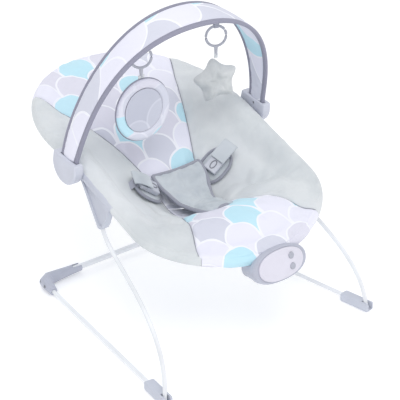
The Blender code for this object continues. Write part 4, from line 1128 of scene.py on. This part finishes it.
def harness_straps():
    """Waist webbing through each tongue, its sewn tab, the pocket round each buckle and a dark ring round the
    release button, painted shade of the gap round it.
    """
    for side, label in ((-1, "left"), (1, "right")):
        matrix = buckle_matrix(side)
        knots = [(TONGUE_SLOT + out, up) for out, up in STRAP_KNOTS]
        route = smooth_route(knots, matrix, 44)
        strap = ribbon(f"waist_webbing_{label}", route, STRAP_HALF, STRAP_THICK, None, "webbing")
        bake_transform(strap)
        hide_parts(f"waist_strap_{label}")
        pocket(matrix, label)
        route = smooth_route(FLAP_KNOTS, matrix, 30)
        body = f"buckle_tongue_{label}"
        flap = ribbon(f"waist_flap_{label}", route, FLAP_HALF, FLAP_THICK, body, "pad_plush")
        # A dark ring round the release button: painted shade of the gap round it.
        oval = [
            matrix @ Vector((RELEASE_X + RELEASE_HALF[0] * c, RELEASE_HALF[1] * s, RELEASE_UP))
            for c, s in circle(40)
        ]
        rim = tube(f"buckle_release_gap_shade_{label}", oval, RELEASE_SHADE_RADIUS, "seat", "inner", 8, True)


# ---------------------------------------------------------------- toy bar

def bezier_point(controls, t):
    a, b, c, d = controls
    s = 1 - t
    return a * s ** 3 + b * 3 * s * s * t + c * 3 * s * t * t + d * t ** 3


def bar_edges(side, part):
    """Points on the bar's front and rear edges, from part 0 at the end cap to 1 at the top."""
    return [
        Vector((side * point.x, point.y, point.z))
        for point in (bezier_point(BAR_FRONT_EDGE, part), bezier_point(BAR_REAR_EDGE, part))
    ]


def bar_section(t):
    """Centre, across, outward, width and along at t, from -1 at the left end to 1 at the right."""
    side = 1 if t >= 0 else -1
    part = 1 - abs(t)
    front, rear = bar_edges(side, part)
    nearby = max(part - 0.01, 0.0), min(part + 0.01, 1.0)
    before, after = [sum(bar_edges(side, at), Vector()) / 2 for at in nearby]
    along = (after - before).normalized() * -side
    if part > 0.995:
        along = Vector((1, 0, 0))
    across = (rear - front).normalized()
    outward = across.cross(along).normalized()
    if outward.z < 0 and part > 0.5 or outward.x * side < 0 and part <= 0.5:
        outward = -outward
    return (front + rear) / 2, across, outward, (rear - front).length, along


BAR_STATIONS, BAR_IN_CAP = 150, 0.0042
BAND_INSET, BAND_EDGE, BAND_CROWN = 0.0055, 0.0025, 0.0019
BAND_HELD, BAND_GROWTH, BAND_PRESSURE, BAND_MOST = 0.0068, 0.018, 2.0, 0.0013
TAPE_RADIUS, TAPE_WIDTH, TAPE_INSET = 0.0037, 0.0088, 0.0035


def bar_piece(name, profile_of, material, held_from=None):
    """A skin swept along the bar; profile_of gives closed (across, outward, place on the cloth) points.

    Points within held_from of the bar's edges are held while the rest is filled.
    """
    sections = [bar_section(-1 + 2 * i / (BAR_STATIONS - 1)) for i in range(BAR_STATIONS)]
    first, last = sections[0], sections[-1]
    sections.insert(0, (first[0] - first[4] * BAR_IN_CAP, *first[1:]))
    sections.append((last[0] + last[4] * BAR_IN_CAP, *last[1:]))
    starts = [0.0]
    for before, after in zip(sections, sections[1:]):
        starts.append(starts[-1] + (after[0] - before[0]).length)
    points, cloth, held = [], [], []
    for i, (centre, across, outward, width, _) in enumerate(sections):
        for out, up, place in profile_of(width):
            points.append(centre + across * out + outward * up)
            cloth.append((place, starts[i] - starts[-1] / 2, 0.0))
            inside = 0 < i < len(sections) - 1 and held_from and abs(out) <= width / 2 - held_from
            held.append(0.0 if inside else 1.0)
    sides = len(profile_of(sections[0][3]))
    obj = add_mesh(name, points, swept_faces(len(sections), sides), material, "toy_bar", cloth)
    if held_from:
        inflate(obj, held, BAND_GROWTH, BAND_PRESSURE, BAND_MOST)
    subdivide(obj)
    return obj


def bar_band(width):
    """The printed band: crowned on both faces, thin at the bindings."""
    half = width / 2 - BAND_INSET
    profile = []
    for layer in (1, -1):
        for k in range(-4, 5):
            t = layer * k / 4
            up = layer * (BAND_EDGE + BAND_CROWN * math.sqrt(max(1 - t * t, 0.0)))
            profile.append((half * t, up, half * t))
    return profile


def bar_edge(sign):
    """The profile of a folded tape round one edge of the band."""
    def profile_of(width):
        inner = width / 2 - TAPE_WIDTH
        middle = width / 2 - TAPE_INSET
        profile = []
        for k in range(13):
            angle = math.radians(-90 + 180 * k / 12)
            profile.append((middle + TAPE_RADIUS * math.cos(angle), TAPE_RADIUS * math.sin(angle)))
        upper = [(inner + 0.0022, 0.00355), (inner + 0.0008, 0.0034), (inner, 0.0030)]
        profile += upper + [(out, -up) for out, up in upper[::-1]]
        return [(sign * out, up, out - inner - 0.0020) for out, up in profile]
    return profile_of


def toy_bar():
    """The bar's padded sleeve and the tapes that bind its two edges."""
    band = bar_piece("bar_cover", bar_band, "bar_print", BAND_HELD)
    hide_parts("bar_sleeve")
    for label, sign in (("front", -1), ("rear", 1)):
        edge = bar_piece(f"bar_binding_{label}", bar_edge(sign), "binding")


# ---------------------------------------------------------------- toys

LOOP_RADIUS, LOOP_BOTTOM, LOOP_BELOW_BAR = 0.0037, -0.0001, 0.0109
LOOP_HALF, LOOP_THICK, LOOP_POINTS = 0.0045, 0.00055, 44


def bar_underside(x):
    """Height of the bar's lower face at x, over the toys."""
    best = min((abs(abs(bar_section(i / 400)[0].x) - abs(x)), i / 400) for i in range(1, 400))[1]
    centre, across, outward, _, _ = bar_section(best)
    along_width = (TOY_Y - centre.y) / across.y
    return (centre + across * along_width - outward * BAR_THICKNESS / 2).z


def toy_loops():
    """The flat webbing loops that hang the ring links from the bar."""
    top = bar_underside(TOY_X) - RING_TOP_Z - LOOP_BELOW_BAR
    flat = []
    for i, (c, s) in enumerate(circle(40)):
        z = top if i < 20 else LOOP_BOTTOM
        flat.append(Vector((0, LOOP_RADIUS * c, z + LOOP_RADIUS * s)))
    flat = resample(flat, LOOP_POINTS, closed=True)
    for side, label in ((-1, "left"), (1, "right")):
        matrix = Matrix.Translation((side * TOY_X, TOY_Y, RING_TOP_Z)) @ Matrix.Rotation(RING_TURN, 4, "Z")
        across = matrix.to_3x3() @ Vector((1, 0, 0))
        route = []
        for i, place in enumerate(flat):
            along = (flat[(i + 1) % LOOP_POINTS] - flat[i - 1]).normalized()
            route.append((matrix @ place, across, matrix.to_3x3() @ Vector((0, along.z, -along.y))))
        loop = ribbon(f"toy_webbing_{label}", route, LOOP_HALF, LOOP_THICK, "toy_bar", "webbing", True)
        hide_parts(f"toy_loop_{label}")


MIRROR_INNER = 0.685 * MIRROR_TOY_RADIUS
MIRROR_SIDES = 96
# Radius, depth and thread radius of the piping round the rim and of the welt round the mirror.
MIRROR_PIPING = (MIRROR_TOY_RADIUS - 0.0014, 0.0014, 0.0014)
MIRROR_WELT = (MIRROR_INNER - 0.0006, 0.0058, 0.0008)
RIM_INSET, RIM_DEPTH, RIM_CROWN = 0.0018, 0.0032, 0.0052
BACK_DEPTH, BACK_CROWN, HOLE_RADIUS = -0.0058, 0.0062, 0.004
# Half length of each toy's tab, its half thickness and the space between its sections.
MIRROR_TAB, STAR_TAB = 0.00651, 0.00372
TAB_THICK, TAB_STEP = 0.0013, 0.0012


def mirror_toy():
    """A padded fabric ring with piping, a flexible mirror in front and a sewn tab on top."""
    centre = Vector((-TOY_X, TOY_Y, STEM_END_Z - TOY_GAP - MIRROR_TOY_RADIUS))
    turn = Matrix.Rotation(MIRROR_TOY_TURN, 4, "Z") @ Matrix.Rotation(math.radians(90), 4, "X")
    matrix = Matrix.Translation(centre) @ turn
    rim = MIRROR_TOY_RADIUS - RIM_INSET
    profile = []
    for k in range(15):
        angle = math.radians(180 * k / 14)
        radius = (rim + MIRROR_INNER) / 2 + (rim - MIRROR_INNER) / 2 * math.cos(angle)
        profile.append((radius, RIM_DEPTH + RIM_CROWN * math.sin(angle) ** 0.7))
    profile += [(MIRROR_INNER, 0.0010), (HOLE_RADIUS, 0.0008), (HOLE_RADIUS, BACK_DEPTH)]
    for k in range(7):
        angle = math.radians(90 * k / 6)
        half = 0.5 * MIRROR_TOY_RADIUS
        radius = half + (half - RIM_INSET) * math.sin(angle)
        profile.append((radius, BACK_DEPTH + BACK_CROWN * (1 - math.cos(angle))))
    points, cloth = [], []
    for c, s in circle(MIRROR_SIDES):
        points += [matrix @ Vector((radius * c, radius * s, depth)) for radius, depth in profile]
        cloth += [(radius * c, radius * s, 0.0) for radius, depth in profile]
    faces = swept_faces(MIRROR_SIDES, len(profile), closed=True)
    ring = add_mesh("mirror_toy_ring", points, faces, "toy_print", "mirror_toy", cloth)
    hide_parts("mirror_toy")
    for name, (radius, depth, thread) in (("mirror_toy_piping", MIRROR_PIPING), ("mirror_welt", MIRROR_WELT)):
        line = [matrix @ Vector((radius * c, radius * s, depth)) for c, s in circle(MIRROR_SIDES)]
        piece = tube(name, line, thread, "mirror_toy", "piping", 8, True)
    tab(-1, "mirror_toy", matrix.to_3x3() @ Vector((1, 0, 0)), MIRROR_TAB, "mirror_toy_tab")


def tab(side, body, across, half, name):
    """A short fabric tab that joins the toy to the end of its hanger."""
    down = Vector((0, 0, -1))
    start = Vector((side * TOY_X, TOY_Y, STEM_END_Z + 0.0005))
    normal = across.cross(down).normalized()
    route = [(start + down * TAB_STEP * k, across.normalized(), normal) for k in range(8)]
    piece = ribbon(name, route, half, TAB_THICK, body, "plush")


STAR_NOTCH, STAR_TILT, STAR_FACE_TURN = 0.61, math.radians(11), math.radians(-20)
STAR_DEPTH, STAR_SEAM, STAR_RINGS, STAR_SIDES = 0.0115, 0.0006, 9, 80
STAR_GROWTH, STAR_PRESSURE, STAR_MOST = 0.05, 4.0, 0.005


def star_reach(angle):
    """The star's outline: five straight-sided arms with rounded tips and notches."""
    arm = 2 * math.pi / 5
    off_tip = abs((angle + STAR_TILT + arm / 2) % arm - arm / 2)
    off_notch = arm / 2 - off_tip
    straight = STAR_NOTCH * math.sin(arm / 2) / (math.sin(off_tip) + STAR_NOTCH * math.sin(off_notch))
    tip, notch = 0.085 * math.exp(-(off_tip / 0.12) ** 2), 0.03 * math.exp(-(off_notch / 0.14) ** 2)
    return 1.06 * STAR_RADIUS * (straight - tip + notch)


def star_toy():
    """A stuffed star: two faces sewn round their edge and filled."""
    centre = Vector((TOY_X, TOY_Y, STEM_END_Z - TOY_GAP - STAR_RADIUS))
    turn = Matrix.Rotation(STAR_FACE_TURN, 4, "Z")
    points, held = [], []
    for layer in (1, -1):
        for i in range(STAR_RINGS):
            t = 1 - i / STAR_RINGS
            crown = math.sqrt(max(1 - (1 - min((1 - t) / 0.55, 1.0)) ** 2, 0.0))
            depth = layer * (STAR_DEPTH * crown + STAR_SEAM)
            for k, (c, s) in enumerate(circle(STAR_SIDES)):
                reach = star_reach(2 * math.pi * k / STAR_SIDES) * t
                points.append(centre + turn @ Vector((reach * s, -depth, reach * c)))
                held.append(0.9 if i == 0 else 0.0)
        points.append(centre + turn @ Vector((0, -layer * (STAR_DEPTH + STAR_SEAM), 0)))
        held.append(0.0)
    faces = disc_shell(STAR_RINGS, STAR_SIDES)
    obj = add_mesh("star_plush_toy", points, faces, "star_plush", "star_toy", [tuple(p) for p in points])
    inflate(obj, held, STAR_GROWTH, STAR_PRESSURE, STAR_MOST)
    subdivide(obj)
    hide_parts("star_toy")
    tab(1, "star_toy", Vector((1, 0, 0)), STAR_TAB, "star_toy_tab")


# ---------------------------------------------------------------- carried-over parts

PART_MATERIALS = {
    "wire": ("floor_wire", "leg_wire", "rear_cross_tube", "upper_seat_tube", "lower_seat_tube"),
    "elbow": ("rear_elbow", "unit_housing", "battery_door"),
    "bracket": ("bar_end_cap", "bar_strip"),
    "shade": ("side_bracket", "bracket_cover", "front_foot"),
    "face": ("unit_face",),
    "button": ("upper_button", "lower_button"),
    "buckle": ("buckle_socket", "buckle_tongue"),
    "ring": ("ring_link",),
    "screw": (
        "bracket_screw", "cap_screw", "elbow_side_screw", "elbow_rear_screw", "battery_door_screw",
        "battery_contact", "motor", "eccentric_weight",
    ),
    "mirror": ("mirror",),
    "inner": ("circuit_board", "battery"),
}


def finish_parts():
    """Gives every carried-over part its detailed material."""
    of_stem = {stem: key for key, stems in PART_MATERIALS.items() for stem in stems}
    for name, obj in NODES.items():
        stem = name.removesuffix("_left").removesuffix("_right")
        key = of_stem.get(name) or of_stem.get(stem)
        if key is None:
            continue
        obj.data.materials.clear()
        obj.data.materials.append(MATERIALS[key])


camera()
studio()
make_materials()
ENDS = sling_cover()
hem(*ENDS)
seams(*ENDS)
crotch_pad()
harness_straps()
toy_bar()
toy_loops()
mirror_toy()
star_toy()
finish_parts()
